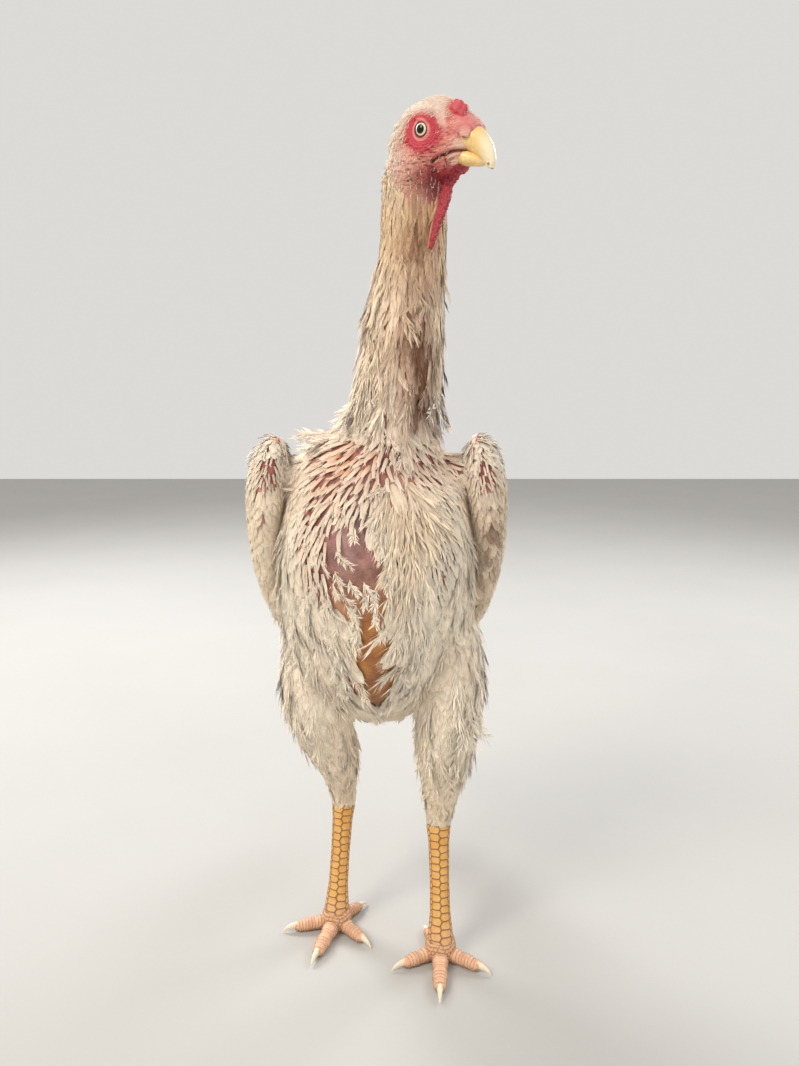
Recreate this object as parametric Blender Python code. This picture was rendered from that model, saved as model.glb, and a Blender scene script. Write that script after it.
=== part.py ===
"""A tall, upright shamo chicken, life size, as a still museum model.

Metres, +Z up. The bird faces -Y and its left side is +X. It stands on the plane Z = 0.
Each part of the body is one closed solid, cut back from its neighbours by a gap of 0.3 mm.
"""

import math

import bmesh
import bpy
from mathutils import Matrix, Vector

# Driving dimensions
GAP = 0.0003
LEFT, RIGHT = 1, -1
SIDE_NAMES = {LEFT: "left", RIGHT: "right"}
FRONT = Vector((0, -1, 0))
BACK = Vector((0, 1, 0))

HEAD_CENTRE = Vector((0.0411, -0.0460, 0.6789))
HEAD_YAW = math.radians(50)
HEAD_PITCH = math.radians(8)
HEAD_ROLL = math.radians(8)
EYE_AT = Vector((0.006, 0.0152, 0.004))
EYE_RADIUS = 0.0066
EAR_AT = Vector((-0.0150, 0.0200, -0.0090))
NOSTRIL_AT = Vector((0.0340, 0.0085, 0.0010))

FOOT_AT = {LEFT: Vector((0.0545, -0.0130, 0)), RIGHT: Vector((-0.0410, 0.0310, 0))}
FOOT_YAW = {LEFT: math.radians(3), RIGHT: math.radians(-17)}
HOCK_AT = {LEFT: Vector((0.0530, 0.0100, 0.117)), RIGHT: Vector((-0.0345, 0.0480, 0.118))}
PAD_HEIGHT = 0.020
TOE_RADIUS = 0.0064
TOE_START = 0.0085
TOE_SCUTE = 0.0062
TOES = {
    "middle": (0.0, 0.050, 1.0),
    "inner": (-60.0, 0.037, 0.90),
    "outer": (60.0, 0.039, 0.92),
    "hind": (203.0, 0.032, 0.78),
}
TOE_PROFILE = ((0.0, 1.0), (0.25, 1.05), (0.50, 0.98), (0.78, 0.92), (0.94, 0.80), (1.0, 0.50))
CLAW_LENGTH = 0.0125
CLAW_PROFILE = ((-0.35, 0.40, 0), (0, 0.50, 0), (0.45, 0.38, 0.12), (0.80, 0.22, 0.40), (1, 0.07, 0.72))

COLOURS = {
    "plumage": (0.86, 0.80, 0.68),
    "skin": (0.72, 0.25, 0.22),
    "comb": (0.74, 0.12, 0.14),
    "bill": (0.87, 0.72, 0.46),
    "eye": (0.78, 0.72, 0.52),
    "scale": (0.85, 0.60, 0.25),
    "claw": (0.80, 0.72, 0.60),
}
ROUGHNESS = {"eye": 0.1, "bill": 0.35, "claw": 0.4, "scale": 0.5}


def clear_scene():
    for obj in list(bpy.data.objects):
        bpy.data.objects.remove(obj)


def material(kind):
    """One Principled material for each kind of surface."""
    found = bpy.data.materials.get(kind)
    if found:
        return found
    made = bpy.data.materials.new(kind)
    made.use_nodes = True
    shader = made.node_tree.nodes["Principled BSDF"]
    shader.inputs["Base Color"].default_value = (*COLOURS[kind], 1)
    shader.inputs["Roughness"].default_value = ROUGHNESS.get(kind, 0.8)
    shader.inputs["Metallic"].default_value = 0
    return made


def add_object(name, points, faces, kind):
    mesh = bpy.data.meshes.new(name)
    mesh.from_pydata([tuple(p) for p in points], [], faces)
    obj = bpy.data.objects.new(name, mesh)
    bpy.context.scene.collection.objects.link(obj)
    tidy_mesh(obj)
    mesh.materials.append(material(kind))
    return obj


def tidy_mesh(obj):
    """Triangles only, all facing out, shaded smooth."""
    work = bmesh.new()
    work.from_mesh(obj.data)
    bmesh.ops.triangulate(work, faces=work.faces)
    bmesh.ops.recalc_face_normals(work, faces=work.faces)
    work.to_mesh(obj.data)
    work.free()
    obj.data.shade_smooth()


def island_volume(faces):
    return sum(
        f.verts[0].co.dot(f.verts[1].co.cross(f.verts[2].co)) for f in faces
    ) / 6


def keep_largest(obj):
    """Leaves only the largest closed surface of a node, so scraps and sealed hollows go."""
    work = bmesh.new()
    work.from_mesh(obj.data)
    bmesh.ops.triangulate(work, faces=work.faces)
    left = set(work.faces)
    islands = []
    while left:
        reached = [left.pop()]
        island = list(reached)
        while reached:
            face = reached.pop()
            for edge in face.edges:
                for other in edge.link_faces:
                    if other in left:
                        left.remove(other)
                        reached.append(other)
                        island.append(other)
        islands.append(island)
    islands.sort(key=lambda faces: abs(island_volume(faces)), reverse=True)
    for island in islands[1:]:
        bmesh.ops.delete(work, geom=island, context="FACES")
    work.to_mesh(obj.data)
    work.free()


def apply_modifiers(obj):
    graph = bpy.context.evaluated_depsgraph_get()
    made = bpy.data.meshes.new_from_object(obj.evaluated_get(graph))
    obj.modifiers.clear()
    obj.data = made


def join_or_cut(obj, pieces, operation):
    """One Boolean of obj with a collection of closed pieces, which are then removed."""
    group = bpy.data.collections.new(obj.name + "_pieces")
    bpy.context.scene.collection.children.link(group)
    for piece in pieces:
        bpy.context.scene.collection.objects.unlink(piece)
        group.objects.link(piece)
    modifier = obj.modifiers.new(operation, "BOOLEAN")
    modifier.operation = operation
    modifier.operand_type = "COLLECTION"
    modifier.collection = group
    modifier.solver = "MANIFOLD"
    apply_modifiers(obj)
    for piece in list(group.objects):
        bpy.data.objects.remove(piece)
    bpy.data.collections.remove(group)
    keep_largest(obj)


def grown_copy(obj, gap):
    """A copy of obj whose surface stands out by the gap."""
    mesh = obj.data.copy()
    normals = [v.normal.copy() for v in mesh.vertices]
    for vertex, normal in zip(mesh.vertices, normals):
        vertex.co += normal * gap
    copy = bpy.data.objects.new(obj.name + "_grown", mesh)
    bpy.context.scene.collection.objects.link(copy)
    return copy


def cut_clear(obj, *neighbours):
    """Takes each neighbour, grown by the gap, away from obj."""
    for other in neighbours:
        join_or_cut(obj, [grown_copy(other, GAP)], "DIFFERENCE")


def spline_rows(rows, count):
    """Catmull-Rom samples through rows of numbers, evenly spaced in the parameter."""
    last = len(rows) - 1
    samples = []
    for k in range(count):
        t = last * k / (count - 1)
        i = min(int(t), last - 1)
        f = t - i
        p0, p1 = rows[max(i - 1, 0)], rows[i]
        p2, p3 = rows[i + 1], rows[min(i + 2, last)]
        samples.append(
            [
                b + 0.5 * f * (c - a + f * (2 * a - 5 * b + 4 * c - d + f * (3 * (b - c) + d - a)))
                for a, b, c, d in zip(p0, p1, p2, p3)
            ]
        )
    return samples


def signed_power(value, exponent):
    return math.copysign(abs(value) ** exponent, value)


def loft_points(rows, count, sides, front, bulge=None, turn=0.5):
    """Rings along a spline. A row is x, y, z, half width, front reach, back reach, squareness.

    front tells which way a ring's first half faces. bulge(point) gives the distance by which
    a point is pushed out. turn, in steps of a ring, says where a ring's first point lies.
    """
    samples = spline_rows(rows, count)
    centres = [Vector(s[:3]) for s in samples]
    rings = []
    for k, sample in enumerate(samples):
        ahead = centres[min(k + 1, count - 1)] - centres[max(k - 1, 0)]
        ahead.normalize()
        face = (front - ahead * front.dot(ahead)).normalized()
        across = face.cross(ahead)
        half, reach_front, reach_back, square = sample[3:7]
        ring = []
        for j in range(sides):
            angle = 2 * math.pi * (j + turn) / sides
            u = signed_power(math.cos(angle), 2 / square)
            w = signed_power(math.sin(angle), 2 / square)
            reach = reach_front if w > 0 else reach_back
            outward = across * (u * half) + face * (w * reach)
            point = centres[k] + outward
            if bulge:
                point = point + outward.normalized() * bulge(point)
            ring.append(point)
        rings.append(ring)
    return centres, rings


def close_rings(centres, rings):
    """Points and faces of a tube of rings with a fan at each end."""
    sides = len(rings[0])
    points = [p for ring in rings for p in ring] + [centres[0], centres[-1]]
    faces = []
    for k in range(len(rings) - 1):
        for j in range(sides):
            a, b = k * sides + j, k * sides + (j + 1) % sides
            faces.append((a, b, b + sides, a + sides))
    first, last = len(points) - 2, len(points) - 1
    top = (len(rings) - 1) * sides
    for j in range(sides):
        faces.append((first, (j + 1) % sides, j))
        faces.append((last, top + j, top + (j + 1) % sides))
    return points, faces


def loft(name, kind, rows, count, sides, front=FRONT, bulge=None, place=None, turn=0.5):
    centres, rings = loft_points(rows, count, sides, front, bulge, turn)
    points, faces = close_rings(centres, rings)
    if place:
        points = [place @ p for p in points]
    return add_object(name, points, faces, kind)


def bumps(*hills):
    """A push outward made of round hills: centre, radius and height of each."""

    def push(point):
        return sum(
            height * math.exp(-(((point - Vector(centre)).length / radius) ** 2))
            for centre, radius, height in hills
        )

    return push


def ball(name, kind, place, radii, segments=12, rings=8):
    """An ellipsoid of the given radii, set in place by a matrix."""
    work = bmesh.new()
    bmesh.ops.create_uvsphere(work, u_segments=segments, v_segments=rings, radius=1)
    mesh = bpy.data.meshes.new(name)
    work.to_mesh(mesh)
    work.free()
    mesh.transform(place @ Matrix.Diagonal((*radii, 1)))
    obj = bpy.data.objects.new(name, mesh)
    bpy.context.scene.collection.objects.link(obj)
    tidy_mesh(obj)
    mesh.materials.append(material(kind))
    return obj


# Feathers


VANE_WIDTHS = ((0.0, 0.45), (0.25, 0.85), (0.55, 1.0), (0.82, 0.90), (1.0, 0.30))


def table_value(table, t):
    """Straight-line reading of a table of pairs."""
    for (t0, v0), (t1, v1) in zip(table, table[1:]):
        if t <= t1:
            return v0 + (v1 - v0) * (t - t0) / (t1 - t0)
    return table[-1][1]


def vane(path, normals, width, thickness, tilt=0.0, kind="plumage"):
    """One feather as a closed plate along a path, split alike on both faces.

    tilt turns it about its own length, so that neighbours lie one over another.
    """
    points, faces = [], []
    last = len(path) - 1
    for k, (at, normal) in enumerate(zip(path, normals)):
        ahead = (path[min(k + 1, last)] - path[max(k - 1, 0)]).normalized()
        up = (normal - ahead * normal.dot(ahead)).normalized()
        up = Matrix.Rotation(tilt, 3, ahead) @ up
        across = ahead.cross(up)
        half = width / 2 * table_value(VANE_WIDTHS, k / last)
        for sideways, height in ((-1, 1), (1, 1), (1, -1), (-1, -1)):
            points.append(at + across * (sideways * half) + up * (height * thickness / 2))
    for k in range(last):
        a, b = k * 4, k * 4 + 4
        for j in range(4):
            n = (j + 1) % 4
            if j == 2:
                faces += [(a + j, a + n, b + j), (a + n, b + n, b + j)]
            else:
                faces += [(a + j, a + n, b + n), (a + j, b + n, b + j)]
    end = last * 4
    faces += [(0, 1, 2), (0, 2, 3), (end, end + 1, end + 2), (end, end + 2, end + 3)]
    return add_object("vane", points, faces, kind)


def mix(pair, t):
    return pair[0] + (pair[1] - pair[0]) * t


# Torso


def make_torso():
    """The trunk in plumage, from the neck's root to the tail's root, broad at the shoulders."""
    rows = [
        (0.006, -0.036, 0.470, 0.032, 0.034, 0.030, 2.0),
        (0.004, -0.032, 0.457, 0.052, 0.050, 0.046, 2.2),
        (0.001, -0.024, 0.433, 0.071, 0.068, 0.062, 2.4),
        (0.000, -0.014, 0.395, 0.082, 0.084, 0.076, 2.4),
        (0.000, -0.002, 0.350, 0.086, 0.090, 0.084, 2.2),
        (0.000, 0.016, 0.305, 0.085, 0.086, 0.082, 2.1),
        (0.000, 0.040, 0.268, 0.078, 0.071, 0.070, 2.0),
        (0.000, 0.070, 0.244, 0.064, 0.052, 0.052, 2.0),
        (0.000, 0.100, 0.232, 0.048, 0.036, 0.038, 2.0),
        (0.000, 0.122, 0.226, 0.034, 0.026, 0.028, 2.0),
    ]
    breast = bumps(
        ((0.036, -0.095, 0.385), 0.036, 0.006),
        ((-0.036, -0.095, 0.385), 0.036, 0.006),
        ((0.0, -0.100, 0.385), 0.022, -0.004),
        ((0.0, -0.085, 0.300), 0.022, 0.006),
        ((0.0, -0.060, 0.262), 0.022, 0.007),
        ((0.045, -0.060, 0.285), 0.028, -0.006),
        ((-0.045, -0.060, 0.285), 0.028, -0.006),
    )
    return loft("torso", "plumage", rows, 18, 22, bulge=breast)


def make_tail_base(torso):
    rows = [
        (0.0, 0.095, 0.236, 0.040, 0.030, 0.032, 2.0),
        (0.0, 0.122, 0.228, 0.034, 0.025, 0.028, 2.0),
        (0.0, 0.145, 0.215, 0.027, 0.018, 0.021, 2.0),
        (0.0, 0.162, 0.204, 0.019, 0.012, 0.014, 2.0),
        (0.0, 0.170, 0.199, 0.010, 0.006, 0.007, 2.0),
    ]
    base = loft("tail_base", "plumage", rows, 6, 12)
    cut_clear(base, torso)
    return base


TAIL_ROOT = Vector((0.0, 0.146, 0.2150))
TAIL_DIP = math.radians(38)
TAIL_FEATHERS = 5
TAIL_COVERTS = 2
TAIL_STEP = 0.0014


def tail_feather(side, spread, stack, over, length, width, droop, segments):
    """A tail feather that leaves the tail's root at an angle, spread to the side.

    stack, from 0 at the top to 1 at the side, turns the feather's face outward, and over is
    how far the feather lies above the first one.
    """
    heading = Vector((side * math.sin(spread), math.cos(spread), 0))
    down = Vector((0, 0, -1))
    roll = math.radians(34 + 20 * stack)
    normal = Vector((side * math.sin(roll), 0, math.cos(roll)))
    shift = Vector((side * (0.0070 + 0.0075 * stack), -0.004 * stack, 0.0050 - 0.0090 * stack))
    at = TAIL_ROOT + shift + normal * over
    path, normals = [], []
    step = length / segments
    for k in range(segments + 1):
        path.append(at.copy())
        normals.append(normal)
        dip = TAIL_DIP + droop * (k / segments - 0.35)
        at = at + (heading * math.cos(dip) + down * math.sin(dip)) * step
    return vane(path, normals, width, VANE_THICKNESS)


def make_tail(side, base, *others):
    """Half of the tail: main feathers, a short curved sickle and coverts on a core of flesh."""
    rows = [
        (side * 0.0090, 0.138, 0.2190, 0.0065, 0.0070, 0.0090, 2.0),
        (side * 0.0105, 0.156, 0.2060, 0.0085, 0.0075, 0.0095, 2.2),
        (side * 0.0125, 0.176, 0.1900, 0.0080, 0.0060, 0.0075, 2.2),
        (side * 0.0145, 0.194, 0.1750, 0.0045, 0.0030, 0.0040, 2.0),
    ]
    tail = loft(f"tail_{SIDE_NAMES[side]}", "plumage", rows, 5, 8)
    feathers = []
    for i in range(TAIL_FEATHERS):
        stack = i / (TAIL_FEATHERS - 1)
        spread = math.radians(2.0 + 13 * stack)
        length = 0.138 - 0.026 * stack
        feathers.append(tail_feather(side, spread, stack, -TAIL_STEP * i, length, 0.022, 0.30, 3))
    for i in range(TAIL_COVERTS):
        spread = math.radians(4 + 14 * i)
        over = 2.2 * TAIL_STEP
        feathers.append(tail_feather(side, spread, i, over, 0.064, 0.019, 0.60, 2))
    feathers.append(tail_feather(side, math.radians(5), 0.10, TAIL_STEP, 0.150, 0.013, 0.80, 4))
    join_or_cut(tail, feathers, "UNION")
    cut_clear(tail, base, *others)
    return tail


# Neck and head


NECK_ROWS = [
    (0.010, -0.034, 0.440, 0.048, 0.048, 0.044, 2.0),
    (0.013, -0.038, 0.470, 0.040, 0.040, 0.038, 2.0),
    (0.017, -0.037, 0.495, 0.0365, 0.037, 0.036, 2.0),
    (0.020, -0.032, 0.530, 0.0355, 0.036, 0.035, 2.0),
    (0.024, -0.028, 0.568, 0.0325, 0.034, 0.033, 2.0),
    (0.028, -0.029, 0.600, 0.0290, 0.031, 0.031, 2.0),
    (0.029, -0.034, 0.630, 0.0280, 0.029, 0.029, 2.0),
    (0.030, -0.039, 0.655, 0.0250, 0.026, 0.026, 2.0),
    (0.031, -0.041, 0.672, 0.0190, 0.020, 0.020, 2.0),
]


def tucked(rows):
    """Rows whose first few are drawn in, so that they start well inside the length before."""
    shrink = (0.70, 0.90, 0.98)
    drawn = [(*row[:3], *(n * k for n in row[3:6]), row[6]) for row, k in zip(rows, shrink)]
    return drawn + rows[len(shrink):]


def make_neck(torso, head):
    """Two lengths of neck. The upper one meets the head under the jaw and behind the ears."""
    whole = spline_rows(NECK_ROWS, 33)
    lower = loft("neck_lower", "plumage", whole[:17], 10, 18)
    upper = loft("neck_upper", "plumage", tucked(whole[14:]), 12, 18)
    cut_clear(lower, torso)
    cut_clear(upper, lower, head)
    return lower, upper


def head_frame():
    """Places head coordinates, x forward, y left and z up, in the world."""
    turn = Matrix.Rotation(HEAD_YAW - math.pi / 2, 4, "Z")
    dip = Matrix.Rotation(HEAD_PITCH, 4, "Y")
    roll = Matrix.Rotation(HEAD_ROLL, 4, "X")
    return Matrix.Translation(HEAD_CENTRE) @ turn @ dip @ roll


HEAD_ROWS = [
    (-0.0310, 0, -0.014, 0.0075, 0.0060, 0.0090, 2.0),
    (-0.0270, 0, -0.012, 0.0130, 0.0115, 0.0150, 2.0),
    (-0.0190, 0, -0.007, 0.0178, 0.0175, 0.0225, 2.0),
    (-0.0080, 0, -0.002, 0.0198, 0.0240, 0.0285, 2.1),
    (0.0040, 0, 0.000, 0.0197, 0.0268, 0.0300, 2.2),
    (0.0150, 0, 0.000, 0.0176, 0.0258, 0.0280, 2.2),
    (0.0250, 0, 0.000, 0.0142, 0.0205, 0.0240, 2.2),
    (0.0330, 0, 0.000, 0.0106, 0.0140, 0.0190, 2.1),
    (0.0378, 0, 0.000, 0.0070, 0.0082, 0.0130, 2.0),
]


def mirrored(at, side):
    return Vector((at.x, side * at.y, at.z))


def facing(at, outward):
    """A matrix at a point whose z axis points outward."""
    return Matrix.Translation(at) @ outward.to_track_quat("Z", "Y").to_matrix().to_4x4()


def make_eyes():
    eyes = []
    for side in (LEFT, RIGHT):
        name = f"eye_{SIDE_NAMES[side]}"
        place = head_frame() @ Matrix.Translation(mirrored(EYE_AT, side))
        eyes.append(ball(name, "eye", place, [EYE_RADIUS] * 3, 12, 8))
    return eyes


def lid_ring(side):
    """The bare rim of skin round an eye."""
    major, minor = 0.0058, 0.0013
    out = Vector((0.12, side, 0.05)).normalized()
    centre = mirrored(EYE_AT, side) + out * (EYE_RADIUS * 0.62)
    place = head_frame() @ facing(centre, out)
    around, through = 12, 4
    points, faces = [], []
    for i in range(around):
        a = 2 * math.pi * i / around
        for j in range(through):
            b = 2 * math.pi * j / through
            reach = major + minor * math.cos(b)
            local = Vector((reach * math.cos(a), reach * math.sin(a), minor * math.sin(b)))
            points.append(place @ local)
            corner = i * through
            onward = ((i + 1) % around) * through
            k = (j + 1) % through
            faces.append((corner + j, onward + j, onward + k, corner + k))
    return add_object("lid", points, faces, "skin")


def mouth_groove(side):
    """A thin cutter along the line of the mouth, from the bill's root to the gape."""
    rows = [
        (0.0400, side * 0.0095, -0.0100, 0.0009, 0.0009, 0.0009, 2.0),
        (0.0310, side * 0.0135, -0.0098, 0.0009, 0.0009, 0.0009, 2.0),
        (0.0220, side * 0.0165, -0.0125, 0.0009, 0.0009, 0.0009, 2.0),
        (0.0140, side * 0.0192, -0.0170, 0.0007, 0.0007, 0.0007, 2.0),
    ]
    return loft("groove", "skin", rows, 5, 5, front=Vector((0, 0, 1)), place=head_frame())


def make_head(eyes):
    """The bare head with brows, cheeks, lids, nostrils and the line of the mouth."""
    shape = bumps(
        ((0.010, 0.0185, 0.0150), 0.0085, 0.0030),
        ((0.010, -0.0185, 0.0150), 0.0085, 0.0030),
        ((0.002, 0.0200, -0.0120), 0.0090, 0.0020),
        ((0.002, -0.0200, -0.0120), 0.0090, 0.0020),
        ((0.022, 0.0140, 0.0040), 0.0060, -0.0012),
        ((0.022, -0.0140, 0.0040), 0.0060, -0.0012),
        ((0.034, 0.0090, 0.0020), 0.0050, 0.0014),
        ((0.034, -0.0090, 0.0020), 0.0050, 0.0014),
    )
    up = Vector((0, 0, 1))
    head = loft("head", "skin", HEAD_ROWS, 15, 16, front=up, bulge=shape, place=head_frame())
    join_or_cut(head, [lid_ring(side) for side in (LEFT, RIGHT)], "UNION")
    openings = [mouth_groove(side) for side in (LEFT, RIGHT)]
    for side in (LEFT, RIGHT):
        out = Vector((0.5, side, 0.1)).normalized()
        place = head_frame() @ facing(mirrored(NOSTRIL_AT, side) + out * 0.0018, out)
        openings.append(ball("nostril", "skin", place, (0.0028, 0.0013, 0.0020), 6, 5))
    join_or_cut(head, openings, "DIFFERENCE")
    cut_clear(head, *eyes)
    return head


def make_bill(head):
    up = Vector((0, 0, 1))
    upper_rows = [
        (0.0240, 0, 0.0040, 0.0105, 0.0105, 0.0105, 2.2),
        (0.0320, 0, 0.0012, 0.0102, 0.0103, 0.0098, 2.2),
        (0.0400, 0, -0.0026, 0.0090, 0.0086, 0.0080, 2.2),
        (0.0458, 0, -0.0064, 0.0070, 0.0068, 0.0060, 2.1),
        (0.0508, 0, -0.0110, 0.0047, 0.0048, 0.0042, 2.0),
        (0.0540, 0, -0.0158, 0.0027, 0.0030, 0.0026, 2.0),
        (0.0553, 0, -0.0205, 0.0010, 0.0011, 0.0010, 2.0),
    ]
    lower_rows = [
        (0.0230, 0, -0.0130, 0.0098, 0.0035, 0.0060, 2.2),
        (0.0320, 0, -0.0150, 0.0092, 0.0048, 0.0052, 2.2),
        (0.0390, 0, -0.0158, 0.0078, 0.0048, 0.0054, 2.1),
        (0.0450, 0, -0.0170, 0.0055, 0.0040, 0.0044, 2.0),
        (0.0490, 0, -0.0185, 0.0030, 0.0022, 0.0026, 2.0),
        (0.0510, 0, -0.0196, 0.0010, 0.0008, 0.0009, 2.0),
    ]
    upper = loft("bill_upper", "bill", upper_rows, 10, 12, front=up, place=head_frame())
    lower = loft("bill_lower", "bill", lower_rows, 8, 10, front=up, place=head_frame())
    cut_clear(upper, head)
    cut_clear(lower, head, upper)
    return upper, lower


COMB_BULBS = (
    (0.0205, 0.0000, 0.0236, 0.0040),
    (0.0262, 0.0000, 0.0222, 0.0046),
    (0.0322, 0.0000, 0.0185, 0.0047),
    (0.0374, 0.0000, 0.0132, 0.0040),
    (0.0240, 0.0060, 0.0200, 0.0040),
    (0.0325, 0.0062, 0.0150, 0.0043),
)


def make_comb(head, upper):
    """A small pea comb: bulbs in three rows, the middle one highest, on a low pad."""
    up = Vector((0, 0, 1))
    pad_rows = [
        (0.0190, 0, 0.0225, 0.0040, 0.0015, 0.0040, 2.0),
        (0.0250, 0, 0.0205, 0.0082, 0.0022, 0.0050, 2.0),
        (0.0320, 0, 0.0155, 0.0084, 0.0022, 0.0050, 2.0),
        (0.0385, 0, 0.0095, 0.0040, 0.0012, 0.0040, 2.0),
    ]
    comb = loft("comb", "comb", pad_rows, 5, 8, front=up, place=head_frame())
    bulbs = []
    for x, y, z, radius in COMB_BULBS:
        for side in (LEFT, RIGHT) if y else (LEFT,):
            place = head_frame() @ Matrix.Translation(Vector((x, side * y, z)))
            bulbs.append(ball("bulb", "comb", place, (radius, radius, radius), 7, 6))
    join_or_cut(comb, bulbs, "UNION")
    cut_clear(comb, head, upper)
    return comb


BEAD_PITCH = 2 * math.pi / 0.009


def make_dewlap(head, upper_neck, lower_bill):
    """The bare red fold that runs from the chin down the throat."""
    frame = head_frame()
    chin = frame @ Vector((0.026, 0.0, -0.0215))
    throat = frame @ Vector((0.014, 0.0, -0.0330))
    rows = [
        (*chin, 0.0035, 0.0040, 0.0040, 2.0),
        (*throat, 0.0050, 0.0065, 0.0100, 2.0),
        (0.0500, -0.0560, 0.634, 0.0048, 0.0065, 0.0110, 2.0),
        (0.0455, -0.0590, 0.618, 0.0040, 0.0050, 0.0090, 2.0),
        (0.0415, -0.0590, 0.603, 0.0022, 0.0022, 0.0060, 2.0),
    ]
    forward = (frame.to_3x3() @ Vector((1, 0, 0))) + FRONT

    def beads(point):
        return 0.0006 * math.sin(point.z * BEAD_PITCH + point.x * 300) * math.sin(point.y * 700)

    dewlap = loft("dewlap", "comb", rows, 15, 10, front=forward.normalized(), bulge=beads)
    cut_clear(dewlap, head, upper_neck, lower_bill)
    return dewlap


def make_ears(head, upper_neck):
    for side in (LEFT, RIGHT):
        out = Vector((-0.15, side, -0.05)).normalized()
        place = head_frame() @ facing(mirrored(EAR_AT, side), out)
        ear = ball(f"ear_{SIDE_NAMES[side]}", "skin", place, (0.0045, 0.0060, 0.0022), 12, 8)
        hollow = place @ Matrix.Translation((0, 0, 0.0026))
        cup = ball("cup", "skin", hollow, (0.0026, 0.0036, 0.0018), 10, 6)
        join_or_cut(ear, [cup], "DIFFERENCE")
        cut_clear(ear, head, upper_neck)


# Legs


THIGH_ROWS = {
    LEFT: [
        (0.055, 0.030, 0.335, 0.020, 0.040, 0.040, 2.0),
        (0.059, 0.018, 0.305, 0.028, 0.052, 0.050, 2.1),
        (0.061, 0.006, 0.270, 0.0325, 0.055, 0.054, 2.1),
        (0.0605, -0.001, 0.236, 0.0330, 0.050, 0.050, 2.1),
        (0.0580, 0.000, 0.205, 0.0305, 0.041, 0.043, 2.0),
        (0.0565, 0.003, 0.178, 0.0255, 0.031, 0.034, 2.0),
        (0.0550, 0.006, 0.152, 0.0192, 0.022, 0.025, 2.0),
        (0.0538, 0.009, 0.130, 0.0140, 0.015, 0.017, 2.0),
        (0.0530, 0.010, 0.114, 0.0116, 0.0125, 0.0135, 2.0),
    ],
    RIGHT: [
        (-0.050, 0.045, 0.335, 0.018, 0.040, 0.040, 2.0),
        (-0.054, 0.036, 0.305, 0.027, 0.052, 0.050, 2.1),
        (-0.056, 0.027, 0.270, 0.0320, 0.055, 0.054, 2.1),
        (-0.0545, 0.023, 0.236, 0.0342, 0.050, 0.050, 2.1),
        (-0.0500, 0.027, 0.205, 0.0305, 0.041, 0.043, 2.0),
        (-0.0425, 0.033, 0.178, 0.0250, 0.031, 0.034, 2.0),
        (-0.0370, 0.040, 0.152, 0.0180, 0.022, 0.025, 2.0),
        (-0.0348, 0.045, 0.130, 0.0132, 0.015, 0.017, 2.0),
        (-0.0345, 0.048, 0.114, 0.0113, 0.0125, 0.0135, 2.0),
    ],
}


def make_leg(side, torso):
    """Thigh, drumstick and scaly shank of one leg."""
    name = SIDE_NAMES[side]
    whole = spline_rows(THIGH_ROWS[side], 33)
    thigh = loft(f"thigh_{name}", "plumage", whole[:17], 9, 16)
    cut_clear(thigh, torso)
    drum = loft(f"drumstick_{name}", "plumage", tucked(whole[14:]), 11, 16)
    cut_clear(drum, thigh, torso)
    return thigh, drum


SHANK_SCUTES = 11
SHANK_SPAN = (-0.06, 1.06)
SHANK_HALF = (
    (-0.06, 0.0098),
    (0.04, 0.0104),
    (0.16, 0.0089),
    (0.50, 0.0081),
    (0.80, 0.0086),
    (0.96, 0.0104),
    (1.06, 0.0110),
)
SCUTE_RISE = 0.0011
SCUTE_PROFILE = ((0, 0), (0.33, 0.80), (0.67, 1.0), (1, 0))
SCUTE_EDGE = 1.2


def shank_scutes(hock, ankle):
    """Raises two columns of overlapping plates on the front of a shank, set in brick fashion."""
    axis = ankle - hock

    def push(point):
        t = (point - hock).dot(axis) / axis.length_squared
        centre = hock + axis * t
        angle = math.atan2(point.x - centre.x, centre.y - point.y)
        if abs(angle) > SCUTE_EDGE:
            return 0.0
        column = 0.0 if angle > 0 else 1 / 3
        along = (t - SHANK_SPAN[0]) / (SHANK_SPAN[1] - SHANK_SPAN[0])
        phase = (along * SHANK_SCUTES + column + 0.01) % 1
        across = abs(math.sin(math.pi * angle / SCUTE_EDGE))
        return SCUTE_RISE * table_value(SCUTE_PROFILE, phase) * across

    return push


def make_shank(side, drum):
    hock, foot = HOCK_AT[side], FOOT_AT[side]
    ankle = foot + Vector((0, 0, PAD_HEIGHT))
    rings = SHANK_SCUTES * 3 + 1
    rows = []
    for k in range(rings):
        t = mix(SHANK_SPAN, k / (rings - 1))
        half = table_value(SHANK_HALF, t)
        reach = half * 1.18
        rows.append((*hock.lerp(ankle, t), half, reach, reach, 2.2))
    scutes = shank_scutes(hock, ankle)
    name = f"shank_{SIDE_NAMES[side]}"
    shank = loft(name, "scale", rows, rings, 10, bulge=scutes)
    cut_clear(shank, drum)
    return shank


def toe_direction(side, angle):
    """The way a toe points on the ground. Angles open outward from the foot's own heading."""
    heading = -math.pi / 2 + side * (math.radians(angle) - FOOT_YAW[side])
    return Vector((math.cos(heading), math.sin(heading), 0))


def make_foot(side, shank):
    """The pad of the foot, with its toes and claws as nodes of their own."""
    name = SIDE_NAMES[side]
    at = FOOT_AT[side]
    rows = [
        (at.x, at.y + 0.000, 0.0000, 0.0105, 0.0110, 0.0100, 2.2),
        (at.x, at.y + 0.000, 0.0040, 0.0130, 0.0140, 0.0125, 2.2),
        (at.x, at.y + 0.000, 0.0120, 0.0135, 0.0145, 0.0130, 2.2),
        (at.x, at.y + 0.001, 0.0185, 0.0118, 0.0125, 0.0122, 2.1),
        (at.x, at.y + 0.002, 0.0230, 0.0095, 0.0105, 0.0105, 2.0),
    ]
    foot = loft(f"foot_{name}", "scale", rows, 7, 14)
    cut_clear(foot, shank)
    toes = []
    for toe_name, (angle, length, size) in TOES.items():
        toes.append(make_toe(side, toe_name, angle, length, size, foot, toes))
    return foot


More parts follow.
